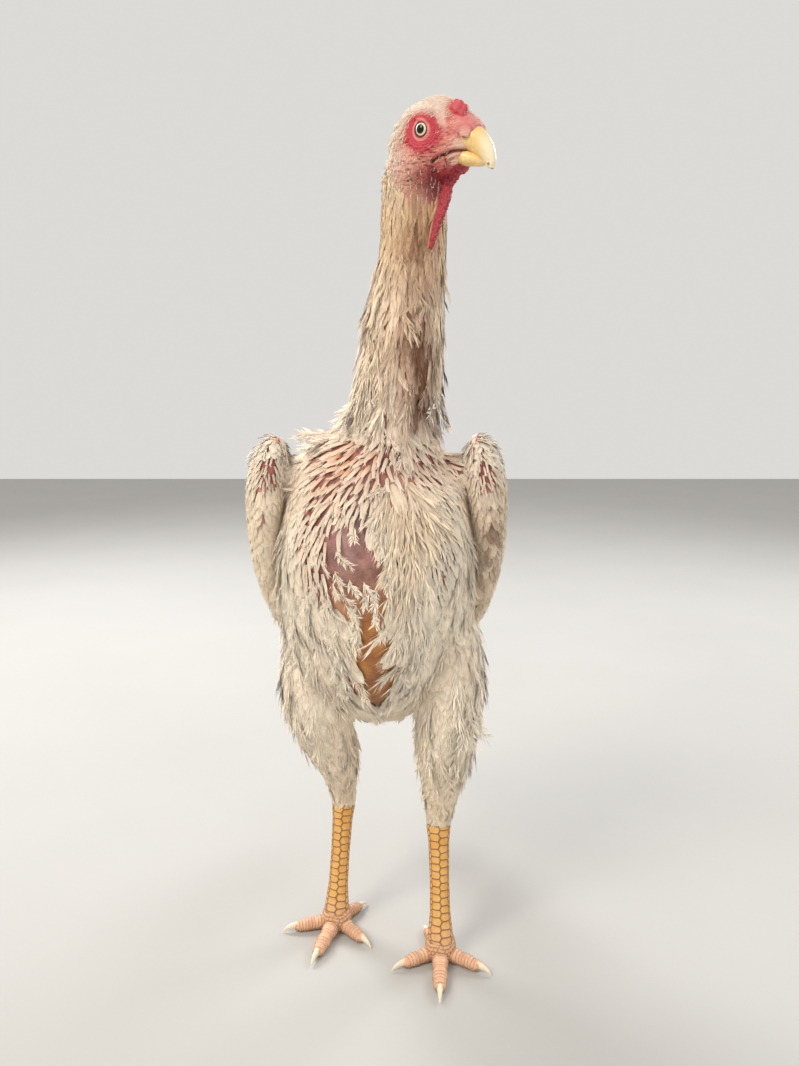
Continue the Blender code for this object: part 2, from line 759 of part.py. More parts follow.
def make_toe(side, toe_name, angle, length, size, foot, others):
    """A toe lying flat on the ground, then its claw."""
    along = toe_direction(side, angle)
    start = FOOT_AT[side] + along * TOE_START
    radius = TOE_RADIUS * size
    lift = 0.35 if toe_name == "hind" else 0.0
    scutes = round((length - TOE_START) / TOE_SCUTE)
    rings = 2 * scutes + 1
    rows = []
    for k in range(rings):
        t = k / (rings - 1)
        share = table_value(TOE_PROFILE, t)
        at = start + along * ((length - TOE_START) * t)
        height = radius * share * 0.92 + lift * radius * (1 - t)
        rows.append((at.x, at.y, height, radius * share, radius * share, height, 2.4))
    middle = radius * 0.92

    def push(point):
        away = (point - start).dot(along) / (length - TOE_START)
        above = max(0.0, min(1.0, (point.z - middle) / (0.4 * radius)))
        return SCUTE_RISE * above * abs(((away * scutes) % 1) * 2 - 1)

    name = f"toe_{SIDE_NAMES[side]}_{toe_name}"
    toe = loft(name, "scale", rows, rings, 8, front=Vector((0, 0, 1)), bulge=push)
    cut_clear(toe, foot, *others)
    tip = FOOT_AT[side] + along * length
    claw_rows = []
    for t, share, drop in CLAW_PROFILE:
        at = tip + along * (CLAW_LENGTH * size * t)
        reach = radius * share
        height = max(radius * (1.0 - drop), reach * 1.02)
        claw_rows.append((at.x, at.y, height, reach * 0.8, reach, reach, 2.0))
    claw_name = f"claw_{SIDE_NAMES[side]}_{toe_name}"
    claw = loft(claw_name, "claw", claw_rows, 6, 6, front=Vector((0, 0, 1)))
    cut_clear(claw, toe)
    return toe


# Wings


WING_ROWS = [
    (0.078, -0.030, 0.463, 0.0090, 0.013, 0.013, 2.0),
    (0.0815, -0.030, 0.452, 0.0165, 0.025, 0.025, 2.0),
    (0.0860, -0.026, 0.428, 0.0200, 0.037, 0.037, 2.1),
    (0.0885, -0.012, 0.397, 0.0195, 0.043, 0.043, 2.1),
    (0.0890, 0.010, 0.362, 0.0175, 0.045, 0.045, 2.2),
    (0.0865, 0.038, 0.328, 0.0135, 0.042, 0.042, 2.3),
    (0.0810, 0.068, 0.300, 0.0090, 0.034, 0.034, 2.3),
    (0.0760, 0.098, 0.278, 0.0050, 0.022, 0.022, 2.2),
    (0.0735, 0.122, 0.262, 0.0020, 0.009, 0.009, 2.0),
]


SKIN_DEPTH = 0.0030
WING_TIERS = {
    "primaries": dict(
        count=4, roots=(0.50, 0.56), tips=(0.86, 1.0), root_q=(0.66, -0.50), tip_q=(0.74, -0.50),
        width=0.0155, lift=-0.0040, step=-0.0011, segments=3, ramp=0.34,
    ),
    "secondaries": dict(
        count=7, roots=(0.32, 0.34), tips=(0.70, 0.86), root_q=(0.78, -0.84), tip_q=(0.82, -0.80),
        width=0.0165, lift=0.0000, step=0, segments=4, ramp=0.5,
    ),
    "greater coverts": dict(
        count=6, roots=(0.17, 0.18), tips=(0.50, 0.56), root_q=(0.76, -0.80), tip_q=(0.78, -0.78),
        width=0.0170, lift=0.0022, step=0, segments=3, ramp=0.6,
    ),
    "median coverts": dict(
        count=5, roots=(0.06, 0.06), tips=(0.29, 0.33), root_q=(0.70, -0.72), tip_q=(0.78, -0.78),
        width=0.0170, lift=0.0038, step=0, segments=2, ramp=0.5,
    ),
}
VANE_THICKNESS = 0.0007
VANE_TILT = math.radians(-15)
ROOT_DEPTH = 0.0035


def wing_surface(rows, side):
    """Gives the point and the outward normal on the outer face of a wing.

    s runs from the wrist to the tips, q from the front edge, 1, to the back edge, -1.
    """
    samples = spline_rows(rows, 65)

    def place(s, q, lift):
        k = min(s, 0.999) * 64
        low = int(k)
        row = [mix(pair, k - low) for pair in zip(samples[low], samples[low + 1])]
        ahead = (Vector(samples[low + 1][:3]) - Vector(samples[low][:3])).normalized()
        face = (FRONT - ahead * FRONT.dot(ahead)).normalized()
        out = Vector((side, 0, 0))
        half, reach = row[3] - SKIN_DEPTH, row[4]
        level = math.sqrt(max(0.0, 1 - q * q))
        normal = (out * (level / max(half, 0.002)) + face * (q / reach)).normalized()
        point = Vector(row[:3]) + out * (half * level) + face * (q * reach) + normal * lift
        return point, normal

    return place


def feather_tier(place, side, tier):
    """The vanes of one tier, their roots sunk in the wing and their tips free."""
    vanes = []
    for i in range(tier["count"]):
        f = i / (tier["count"] - 1)
        path, normals = [], []
        for k in range(tier["segments"] + 1):
            t = k / tier["segments"]
            s = mix((mix(tier["roots"], f), mix(tier["tips"], f)), t)
            q = mix((mix(tier["root_q"], f), mix(tier["tip_q"], f)), t)
            sunk = (ROOT_DEPTH + tier["lift"] + SKIN_DEPTH) * max(0.0, 1 - t / tier["ramp"])
            point, normal = place(s, q, tier["lift"] + tier["step"] * i - sunk)
            path.append(point)
            normals.append(normal)
        vanes.append(vane(path, normals, tier["width"], VANE_THICKNESS, side * VANE_TILT))
    return vanes


def slimmer(rows, start, end, share):
    """A stretch of a wing's rows drawn in, tapering towards its end, as the core of a node."""
    picked = rows[start:end]
    core = []
    for k, (x, y, z, half, front, back, square) in enumerate(picked):
        taper = 1 - 0.45 * max(0.0, k / (len(picked) - 1) - 0.4) / 0.6
        core.append((x, y, z, (half - SKIN_DEPTH) * share * taper, front * taper, back * taper, square))
    return core


def make_wing(side, *neighbours):
    """A folded wing, held a little off the body, in two nodes with feathers in four tiers."""
    name = SIDE_NAMES[side]
    rows = [(side * x, y, z, *rest) for x, y, z, *rest in WING_ROWS]
    whole = [tuple(row) for row in spline_rows(rows, 33)]
    place = wing_surface(rows, side)
    arm = loft(f"wing_{name}_arm", "plumage", slimmer(whole, 0, 18, 1.0), 8, 12)
    feathers = []
    for tier in ("secondaries", "greater coverts", "median coverts"):
        feathers += feather_tier(place, side, WING_TIERS[tier])
    join_or_cut(arm, feathers, "UNION")
    cut_clear(arm, *neighbours)
    hand = loft(f"wing_{name}_hand", "plumage", slimmer(whole, 15, 25, 0.55), 5, 10)
    join_or_cut(hand, feather_tier(place, side, WING_TIERS["primaries"]), "UNION")
    cut_clear(hand, *neighbours, arm)
    return arm, hand


def stand_on_origin():
    """Moves everything so that the origin is the middle of the base of its box."""
    corners = [
        obj.matrix_world @ Vector(corner)
        for obj in bpy.context.scene.objects
        for corner in obj.bound_box
    ]
    low = Vector(min(c[i] for c in corners) for i in range(3))
    high = Vector(max(c[i] for c in corners) for i in range(3))
    shift = Vector((-(low.x + high.x) / 2, -(low.y + high.y) / 2, 0))
    for obj in bpy.context.scene.objects:
        obj.data.transform(Matrix.Translation(shift))


def main():
    clear_scene()
    torso = make_torso()
    base = make_tail_base(torso)
    eyes = make_eyes()
    head = make_head(eyes)
    lower_neck, upper_neck = make_neck(torso, head)
    upper_bill, lower_bill = make_bill(head)
    make_comb(head, upper_bill)
    make_dewlap(head, upper_neck, lower_bill)
    make_ears(head, upper_neck)
    left_tail = make_tail(LEFT, base, torso)
    make_tail(RIGHT, base, torso, left_tail)
    for side in (LEFT, RIGHT):
        thigh, drum = make_leg(side, torso)
        shank = make_shank(side, drum)
        make_foot(side, shank)
        make_wing(side, torso, thigh, lower_neck)
    bpy.context.view_layer.update()
    stand_on_origin()


main()
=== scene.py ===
"""The looks of a tall shamo chicken: a still, life-size museum model of a bird in moult.

Metres, +Z up. The bird faces -Y and its left side is +X. Forms are laid out in the bird's own
plan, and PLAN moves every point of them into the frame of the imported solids.
"""

import math

import bmesh
import bpy
import numpy as np
from mathutils import Matrix, Vector, noise
from mathutils.bvhtree import BVHTree
from mathutils.kdtree import KDTree


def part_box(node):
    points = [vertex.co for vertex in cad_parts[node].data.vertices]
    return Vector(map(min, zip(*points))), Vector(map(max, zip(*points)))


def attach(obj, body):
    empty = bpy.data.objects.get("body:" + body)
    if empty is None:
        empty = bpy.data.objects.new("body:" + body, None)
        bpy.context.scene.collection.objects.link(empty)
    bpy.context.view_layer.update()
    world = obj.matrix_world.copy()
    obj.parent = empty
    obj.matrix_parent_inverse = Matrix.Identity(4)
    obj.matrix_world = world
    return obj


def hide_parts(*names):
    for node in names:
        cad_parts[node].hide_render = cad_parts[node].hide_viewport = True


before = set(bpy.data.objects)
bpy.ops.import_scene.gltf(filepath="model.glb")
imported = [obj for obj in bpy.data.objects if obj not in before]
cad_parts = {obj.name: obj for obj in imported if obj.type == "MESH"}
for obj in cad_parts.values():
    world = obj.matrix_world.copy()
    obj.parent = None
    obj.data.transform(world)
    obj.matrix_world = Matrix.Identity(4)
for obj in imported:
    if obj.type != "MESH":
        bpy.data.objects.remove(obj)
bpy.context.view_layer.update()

# Sizes and places

LEFT, RIGHT = 1, -1
SIDES = {LEFT: "left", RIGHT: "right"}
FRONT = Vector((0, -1, 0))
UP = Vector((0, 0, 1))

HEAD_CENTRE = Vector((0.0411, -0.0460, 0.6789))
HEAD_YAW = math.radians(50)
HEAD_PITCH = math.radians(8)
HEAD_ROLL = math.radians(8)
EYE_AT = Vector((0.006, 0.0152, 0.004))
EYE_RADIUS = 0.0066
EAR_AT = Vector((-0.0150, 0.0200, -0.0090))
NOSTRIL_AT = Vector((0.0376, 0.0103, 0.0016))

FOOT_AT = {LEFT: Vector((0.0545, -0.0130, 0)), RIGHT: Vector((-0.0410, 0.0310, 0))}
FOOT_YAW = {LEFT: math.radians(3), RIGHT: math.radians(-17)}
HOCK_AT = {LEFT: Vector((0.0530, 0.0100, 0.117)), RIGHT: Vector((-0.0345, 0.0480, 0.118))}
PAD_HEIGHT = 0.020
TOE_RADIUS = 0.0064
TOE_START = 0.004
# Degrees from the foot's heading, length and thickness of each toe
TOES = {
    "middle": (0.0, 0.050, 1.0),
    "inner": (-60.0, 0.037, 0.90),
    "outer": (60.0, 0.039, 0.92),
    "hind": (203.0, 0.032, 0.78),
}
CLAW_LENGTH = 0.0125

# Grain of the skins, where the head's skin begins, where feathers start to hug the skin round its turns,
# and how far the coat's shading follows the way it faces
SKIN_VOXEL = 0.0021
HEAD_VOXEL = 0.00062
HEAD_SKIN_FLOOR = 0.625
HEAD_FOOT = 0.58
SOFTNESS = 0.72

# Rows of each form: x, y, z, half width, reach to the front, reach to the back, squareness
TORSO_ROWS = [
    (0.006, -0.036, 0.470, 0.032, 0.034, 0.030, 2.0),
    (0.004, -0.032, 0.457, 0.052, 0.050, 0.046, 2.2),
    (0.001, -0.024, 0.433, 0.071, 0.068, 0.062, 2.4),
    (0.000, -0.014, 0.395, 0.082, 0.084, 0.076, 2.4),
    (0.000, -0.002, 0.350, 0.086, 0.090, 0.084, 2.2),
    (0.000, 0.016, 0.305, 0.085, 0.086, 0.082, 2.1),
    (0.000, 0.040, 0.268, 0.078, 0.071, 0.070, 2.0),
    (0.000, 0.070, 0.244, 0.064, 0.052, 0.052, 2.0),
    (0.000, 0.100, 0.232, 0.048, 0.036, 0.038, 2.0),
    (0.000, 0.122, 0.226, 0.034, 0.026, 0.028, 2.0),
]
TAIL_ROWS = [
    (0.0, 0.095, 0.236, 0.040, 0.030, 0.032, 2.0),
    (0.0, 0.122, 0.228, 0.034, 0.025, 0.028, 2.0),
    (0.0, 0.145, 0.215, 0.027, 0.018, 0.021, 2.0),
    (0.0, 0.162, 0.204, 0.019, 0.012, 0.014, 2.0),
    (0.0, 0.178, 0.193, 0.012, 0.008, 0.009, 2.0),
]
NECK_ROWS = [
    (0.010, -0.034, 0.440, 0.048, 0.048, 0.044, 2.0),
    (0.013, -0.038, 0.470, 0.040, 0.040, 0.038, 2.0),
    (0.017, -0.037, 0.495, 0.0365, 0.037, 0.036, 2.0),
    (0.020, -0.032, 0.530, 0.0355, 0.036, 0.035, 2.0),
    (0.024, -0.028, 0.568, 0.0325, 0.034, 0.033, 2.0),
    (0.028, -0.029, 0.600, 0.0290, 0.031, 0.031, 2.0),
    (0.029, -0.034, 0.630, 0.0280, 0.029, 0.029, 2.0),
    (0.030, -0.039, 0.655, 0.0250, 0.026, 0.026, 2.0),
    (0.031, -0.041, 0.672, 0.0190, 0.020, 0.020, 2.0),
]
# The head's rows, in head coordinates: forward, left, up
HEAD_ROWS = [
    (-0.0310, 0, -0.014, 0.0075, 0.0060, 0.0090, 2.0),
    (-0.0270, 0, -0.012, 0.0130, 0.0115, 0.0150, 2.0),
    (-0.0190, 0, -0.007, 0.0178, 0.0175, 0.0225, 2.0),
    (-0.0080, 0, -0.002, 0.0198, 0.0240, 0.0285, 2.1),
    (0.0040, 0, 0.000, 0.0197, 0.0268, 0.0300, 2.2),
    (0.0150, 0, 0.000, 0.0176, 0.0258, 0.0280, 2.2),
    (0.0250, 0, 0.000, 0.0142, 0.0205, 0.0240, 2.2),
    (0.0330, 0, 0.000, 0.0106, 0.0140, 0.0190, 2.1),
    (0.0378, 0, 0.000, 0.0070, 0.0082, 0.0130, 2.0),
]
# Middle and radius of each bulb of the comb, in head coordinates
COMB_BULBS = (
    (0.0252, -0.0050, 0.0212, 0.0027),
    (0.0289, -0.0053, 0.0198, 0.0031),
    (0.0322, -0.0047, 0.0171, 0.0028),
    (0.0260, -0.0086, 0.0185, 0.0027),
    (0.0295, -0.0089, 0.0166, 0.0030),
    (0.0326, -0.0080, 0.0142, 0.0025),
    (0.0272, -0.0018, 0.0201, 0.0024),
    (0.0308, -0.0018, 0.0182, 0.0024),
)
CERE_ROWS = [
    (0.0250, 0, 0.0050, 0.0128, 0.0120, 0.0085, 2.3),
    (0.0320, 0, 0.0045, 0.0126, 0.0108, 0.0070, 2.3),
    (0.0370, 0, 0.0040, 0.0114, 0.0082, 0.0054, 2.3),
    (0.0405, 0, 0.0034, 0.0096, 0.0058, 0.0038, 2.2),
    (0.0425, 0, 0.0030, 0.0066, 0.0036, 0.0022, 2.0),
    (0.0432, 0, 0.0030, 0.0030, 0.0018, 0.0010, 2.0),
]
# Forward and up along the mouth, from the bill back to the gape
MOUTH_LINE = ((0.0440, -0.0118), (0.0360, -0.0098), (0.0290, -0.0100), (0.0220, -0.0128), (0.0140, -0.0166))
THIGH_ROWS = {
    LEFT: [
        (0.055, 0.030, 0.335, 0.020, 0.040, 0.040, 2.0),
        (0.059, 0.018, 0.305, 0.028, 0.052, 0.050, 2.1),
        (0.061, 0.006, 0.270, 0.0325, 0.055, 0.054, 2.1),
        (0.0605, -0.001, 0.236, 0.0330, 0.050, 0.050, 2.1),
        (0.0580, 0.000, 0.205, 0.0305, 0.041, 0.043, 2.0),
        (0.0565, 0.003, 0.178, 0.0255, 0.031, 0.034, 2.0),
        (0.0550, 0.006, 0.152, 0.0192, 0.022, 0.025, 2.0),
        (0.0538, 0.009, 0.130, 0.0140, 0.015, 0.017, 2.0),
        (0.0530, 0.010, 0.114, 0.0116, 0.0125, 0.0135, 2.0),
    ],
    RIGHT: [
        (-0.050, 0.045, 0.335, 0.018, 0.040, 0.040, 2.0),
        (-0.054, 0.036, 0.305, 0.027, 0.052, 0.050, 2.1),
        (-0.056, 0.027, 0.270, 0.0320, 0.055, 0.054, 2.1),
        (-0.0545, 0.023, 0.236, 0.0342, 0.050, 0.050, 2.1),
        (-0.0500, 0.027, 0.205, 0.0305, 0.041, 0.043, 2.0),
        (-0.0425, 0.033, 0.178, 0.0250, 0.031, 0.034, 2.0),
        (-0.0370, 0.040, 0.152, 0.0180, 0.022, 0.025, 2.0),
        (-0.0348, 0.045, 0.130, 0.0132, 0.015, 0.017, 2.0),
        (-0.0345, 0.048, 0.114, 0.0113, 0.0125, 0.0135, 2.0),
    ],
}
WING_ROWS = [
    (0.078, -0.030, 0.463, 0.0090, 0.013, 0.013, 2.0),
    (0.0815, -0.030, 0.452, 0.0165, 0.025, 0.025, 2.0),
    (0.0860, -0.026, 0.428, 0.0200, 0.037, 0.037, 2.1),
    (0.0885, -0.012, 0.397, 0.0195, 0.043, 0.043, 2.1),
    (0.0890, 0.010, 0.362, 0.0175, 0.045, 0.045, 2.2),
    (0.0865, 0.038, 0.328, 0.0135, 0.042, 0.042, 2.3),
    (0.0810, 0.068, 0.300, 0.0090, 0.034, 0.034, 2.3),
    (0.0760, 0.098, 0.278, 0.0050, 0.022, 0.022, 2.2),
    (0.0735, 0.122, 0.262, 0.0020, 0.009, 0.009, 2.0),
]
# Share of the way from hock to ankle, half width of the shank
SHANK_HALF = (
    (-0.10, 0.0090),
    (0.04, 0.0104),
    (0.16, 0.0089),
    (0.50, 0.0081),
    (0.80, 0.0086),
    (0.96, 0.0104),
    (1.06, 0.0110),
)
# Share of the toe's length, share of its thickness
TOE_PROFILE = ((0.0, 1.0), (0.25, 1.05), (0.50, 0.98), (0.78, 0.92), (0.94, 0.80), (1.0, 0.45))


def head_frame():
    """Places head coordinates, x forward, y left and z up, in the plan."""
    turn = Matrix.Rotation(HEAD_YAW - math.pi / 2, 4, "Z")
    dip = Matrix.Rotation(HEAD_PITCH, 4, "Y")
    roll = Matrix.Rotation(HEAD_ROLL, 4, "X")
    return Matrix.Translation(HEAD_CENTRE) @ turn @ dip @ roll


def wing_rows(side):
    """The rows of the wing on one side."""
    return [(side * x, *rest) for x, *rest in WING_ROWS]


def mirrored(at, side):
    """A place in head coordinates, on the side asked for."""
    return Vector((at.x, side * at.y, at.z))


HEAD = head_frame()
EYE_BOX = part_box("eye_right")
PLAN = (EYE_BOX[0] + EYE_BOX[1]) / 2 - HEAD @ mirrored(EYE_AT, RIGHT)


# Forms


def spline_rows(rows, count):
    """Catmull-Rom samples through rows of numbers, evenly spaced in the parameter."""
    last = len(rows) - 1
    samples = []
    for k in range(count):
        t = last * k / (count - 1)
        i = min(int(t), last - 1)
        f = t - i
        p0, p1 = rows[max(i - 1, 0)], rows[i]
        p2, p3 = rows[i + 1], rows[min(i + 2, last)]
        samples.append(
            [
                b + 0.5 * f * (c - a + f * (2 * a - 5 * b + 4 * c - d + f * (3 * (b - c) + d - a)))
                for a, b, c, d in zip(p0, p1, p2, p3)
            ]
        )
    return samples


def signed_power(value, exponent):
    """A power that keeps the sign of its base."""
    return math.copysign(abs(value) ** exponent, value)


def read_table(table, t):
    """Straight-line reading of a table of pairs."""
    return np.interp(t, *zip(*table))


def inner(rows, *depths):
    """Rows drawn in by the depth of the coat, which runs evenly from the first depth to the last."""
    made = []
    for k, (x, y, z, half, front, back, square) in enumerate(rows):
        depth = np.interp(k / (len(rows) - 1), np.linspace(0, 1, len(depths)), depths)
        made.append((x, y, z, *(max(n - depth, 0.4 * n) for n in (half, front, back)), square))
    return made


def loft(rows, count, sides, front=FRONT, bulge=None, place=None):
    """Points and triangles of a closed tube whose rows are x, y, z, half width, front, back, squareness."""
    samples = spline_rows(rows, count)
    centres = [Vector(s[:3]) for s in samples]
    points = []
    for k, sample in enumerate(samples):
        ahead = (centres[min(k + 1, count - 1)] - centres[max(k - 1, 0)]).normalized()
        face = (front - ahead * front.dot(ahead)).normalized()
        across = face.cross(ahead)
        half, reach_front, reach_back, square = sample[3:7]
        for j in range(sides):
            angle = 2 * math.pi * (j + 0.5) / sides
            u = signed_power(math.cos(angle), 2 / square)
            w = signed_power(math.sin(angle), 2 / square)
            reach = reach_front if w > 0 else reach_back
            outward = across * (u * half) + face * (w * reach)
            point = centres[k] + outward
            if bulge:
                point = point + outward.normalized() * bulge(point)
            points.append(point)
    points += [centres[0], centres[-1]]
    if place:
        points = [place @ p for p in points]
    return np.array(points), tube_triangles(count, sides)


def tube_triangles(count, sides):
    """Triangles of rings of points followed by the middle of each end."""
    faces = []
    for k in range(count - 1):
        for j in range(sides):
            a, b = k * sides + j, k * sides + (j + 1) % sides
            faces += [(a, b + sides, b), (a, a + sides, b + sides)]
    first, last = count * sides, count * sides + 1
    top = (count - 1) * sides
    for j in range(sides):
        n = (j + 1) % sides
        faces += [(first, j, n), (last, top + n, top + j)]
    return np.array(faces)


def bumps(*hills):
    """A push outward made of round hills: centre, radius and height of each."""

    def push(point):
        return sum(
            height * math.exp(-(((point - Vector(centre)).length / radius) ** 2))
            for centre, radius, height in hills
        )

    return push


def ball(place, radii, segments=24, rings=16):
    """Points and triangles of an ellipsoid."""
    work = bmesh.new()
    bmesh.ops.create_uvsphere(work, u_segments=segments, v_segments=rings, radius=1)
    bmesh.ops.transform(work, matrix=place @ Matrix.Diagonal((*radii, 1)), verts=work.verts)
    bmesh.ops.triangulate(work, faces=work.faces)
    points = np.array([v.co for v in work.verts])
    faces = np.array([[v.index for v in f.verts] for f in work.faces])
    work.free()
    return points, faces


def torus(place, major, minor, around=40, through=10):
    """Points and triangles of a ring round the z axis of its place."""
    points = []
    faces = []
    for i in range(around):
        a = 2 * math.pi * i / around
        for j in range(through):
            b = 2 * math.pi * j / through
            reach = major + minor * math.cos(b)
            points.append(place @ Vector((reach * math.cos(a), reach * math.sin(a), minor * math.sin(b))))
            corner, onward, k = i * through, ((i + 1) % around) * through, (j + 1) % through
            faces += [(corner + j, onward + j, onward + k), (corner + j, onward + k, corner + k)]
    return np.array(points), np.array(faces)


def facing(at, outward):
    """A matrix at a point whose z axis points outward."""
    return Matrix.Translation(at) @ outward.to_track_quat("Z", "Y").to_matrix().to_4x4()


def joined(parts):
    """One set of points and triangles from several."""
    points, faces, start = [], [], 0
    for part_points, part_faces in parts:
        points.append(part_points)
        faces.append(part_faces + start)
        start += len(part_points)
    return np.concatenate(points), np.concatenate(faces)


def raw_mesh(name, points, faces):
    """A mesh from points and triangles."""
    mesh = bpy.data.meshes.new(name)
    mesh.vertices.add(len(points))
    mesh.vertices.foreach_set("co", np.asarray(points, np.float32).ravel())
    mesh.loops.add(faces.size)
    mesh.loops.foreach_set("vertex_index", np.asarray(faces, np.int32).ravel())
    mesh.polygons.add(len(faces))
    mesh.polygons.foreach_set("loop_start", np.arange(len(faces), dtype=np.int32) * 3)
    mesh.update(calc_edges=True)
    return mesh


def read_mesh(mesh):
    """Points, triangles and point normals of a mesh."""
    mesh.calc_loop_triangles()
    points = np.zeros(len(mesh.vertices) * 3, np.float32)
    mesh.vertices.foreach_get("co", points)
    normals = np.zeros(len(mesh.vertices) * 3, np.float32)
    mesh.vertex_normals.foreach_get("vector", normals)
    faces = np.zeros(len(mesh.loop_triangles) * 3, np.int32)
    mesh.loop_triangles.foreach_get("vertices", faces)
    return points.reshape(-1, 3).astype(float), faces.reshape(-1, 3), normals.reshape(-1, 3).astype(float)


def fuse(parts, voxel, smoothing):
    """One closed skin round several overlapping closed forms."""
    obj = bpy.data.objects.new("forms", raw_mesh("forms", *joined(parts)))
    bpy.context.scene.collection.objects.link(obj)
    remesh = obj.modifiers.new("fuse", "REMESH")
    remesh.mode = "VOXEL"
    remesh.voxel_size = voxel
    smooth = obj.modifiers.new("smooth", "SMOOTH")
    smooth.factor = 0.5
    smooth.iterations = smoothing
    graph = bpy.context.evaluated_depsgraph_get()
    found = read_mesh(bpy.data.meshes.new_from_object(obj.evaluated_get(graph)))
    bpy.data.objects.remove(obj)
    return found


def normals_of(points, faces):
    """Outward normals at the points, larger triangles counting for more."""
    a, b, c = (points[faces[:, k]] for k in range(3))
    across = np.cross(b - a, c - a)
    normals = np.zeros_like(points)
    for k in range(3):
        for axis in range(3):
            normals[:, axis] += np.bincount(faces[:, k], across[:, axis], len(points))
    return normals / np.maximum(np.linalg.norm(normals, axis=1, keepdims=True), 1e-12)


def soft_normals(points, faces, lay):
    """Normals at the corners of triangles, turned towards the way the coat faces."""
    return unit(lay * SOFTNESS + normals_of(np.asarray(points, float), faces) * (1 - SOFTNESS))[faces]


def add_piece(name, points, faces, finish, uv=None, values=None, lay=None):
    """Adds a piece of the bird from points in the plan, with float values at its points.

    lay, where given, is the direction the coat faces at each point, which softens its shading.
    """
    mesh = raw_mesh(name, np.asarray(points) + np.array(PLAN), faces)
    if uv is not None:
        layer = mesh.uv_layers.new(name="OFBake")
        layer.data.foreach_set("uv", uv[faces].astype(np.float32).ravel())
    for key, numbers in (values or {}).items():
        attribute = mesh.attributes.new(key, "FLOAT", "POINT")
        attribute.data.foreach_set("value", np.asarray(numbers, np.float32))
    mesh.materials.append(finish)
    mesh.shade_smooth()
    if lay is not None:
        normals = mesh.attributes.new("custom_normal", "FLOAT_VECTOR", "CORNER")
        normals.data.foreach_set("vector", soft_normals(points, faces, lay).astype(np.float32).ravel())
    obj = bpy.data.objects.new(name, mesh)
    bpy.context.scene.collection.objects.link(obj)
    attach(obj, "root")
    return obj


# Finishes


class Finish:
    """A node material built step by step."""

    def __init__(self, name, roughness, specular=0.5, coat=0.0, sheen=0.0, subsurface=0.0):
        self.material = bpy.data.materials.new(name)
        self.material.use_nodes = True
        self.tree = self.material.node_tree
        self.shader = self.tree.nodes["Principled BSDF"]
        for socket, value in (
            ("Roughness", roughness),
            ("Specular IOR Level", specular),
            ("Coat Weight", coat),
            ("Coat Roughness", 0.06),
            ("Sheen Weight", sheen),
            ("Subsurface Weight", subsurface),
            ("Subsurface Scale", 0.004),
        ):
            self.shader.inputs[socket].default_value = value
        self.place = self.tree.nodes.new("ShaderNodeTexCoord").outputs["Object"]
        self.height = None

    def link(self, source, socket):
        if isinstance(source, (int, float)):
            socket.default_value = source
        elif isinstance(source, tuple):
            socket.default_value = (*source, 1)
        else:
            self.tree.links.new(source, socket)

    def value(self, name):
        node = self.tree.nodes.new("ShaderNodeAttribute")
        node.attribute_name = name
        return node.outputs["Fac"]

    def stretched(self, x, y, z):
        node = self.tree.nodes.new("ShaderNodeMapping")
        self.tree.links.new(self.place, node.inputs["Vector"])
        node.inputs["Scale"].default_value = (x, y, z)
        return node.outputs["Vector"]

    def noise(self, scale, detail=3.0, place=None):
        node = self.tree.nodes.new("ShaderNodeTexNoise")
        self.tree.links.new(place or self.place, node.inputs["Vector"])
        node.inputs["Scale"].default_value = scale
        node.inputs["Detail"].default_value = detail
        return node.outputs["Fac"]

    def cells(self, scale, feature="F1"):
        node = self.tree.nodes.new("ShaderNodeTexVoronoi")
        self.tree.links.new(self.place, node.inputs["Vector"])
        node.feature = feature
        node.inputs["Scale"].default_value = scale
        return node.outputs["Distance"]

    def math(self, operation, a, b=0.0, clamp=False):
        node = self.tree.nodes.new("ShaderNodeMath")
        node.operation = operation
        node.use_clamp = clamp
        self.link(a, node.inputs[0])
        self.link(b, node.inputs[1])
        return node.outputs[0]

    def ramp(self, value, low, high, out_low=0.0, out_high=1.0):
        node = self.tree.nodes.new("ShaderNodeMapRange")
        self.link(value, node.inputs["Value"])
        for socket, number in (
            ("From Min", low), ("From Max", high), ("To Min", out_low), ("To Max", out_high),
        ):
            node.inputs[socket].default_value = number
        return node.outputs["Result"]

    def grey(self, value):
        node = self.tree.nodes.new("ShaderNodeCombineColor")
        for socket in node.inputs[:3]:
            self.tree.links.new(value, socket)
        return node.outputs[0]

    def mix(self, factor, a, b, blend="MIX"):
        node = self.tree.nodes.new("ShaderNodeMix")
        node.data_type = "RGBA"
        node.blend_type = blend
        self.link(factor, node.inputs[0])
        self.link(a, node.inputs[6])
        self.link(b, node.inputs[7])
        return node.outputs[2]

    def colour(self, source):
        self.link(source, self.shader.inputs["Base Color"])

    def bump(self, height, distance, strength=1.0):
        node = self.tree.nodes.new("ShaderNodeBump")
        node.inputs["Strength"].default_value = strength
        node.inputs["Distance"].default_value = distance
        self.tree.links.new(height, node.inputs["Height"])
        if self.height is not None:
            self.tree.links.new(self.height, node.inputs["Normal"])
        self.height = node.outputs["Normal"]
        self.tree.links.new(self.height, self.shader.inputs["Normal"])


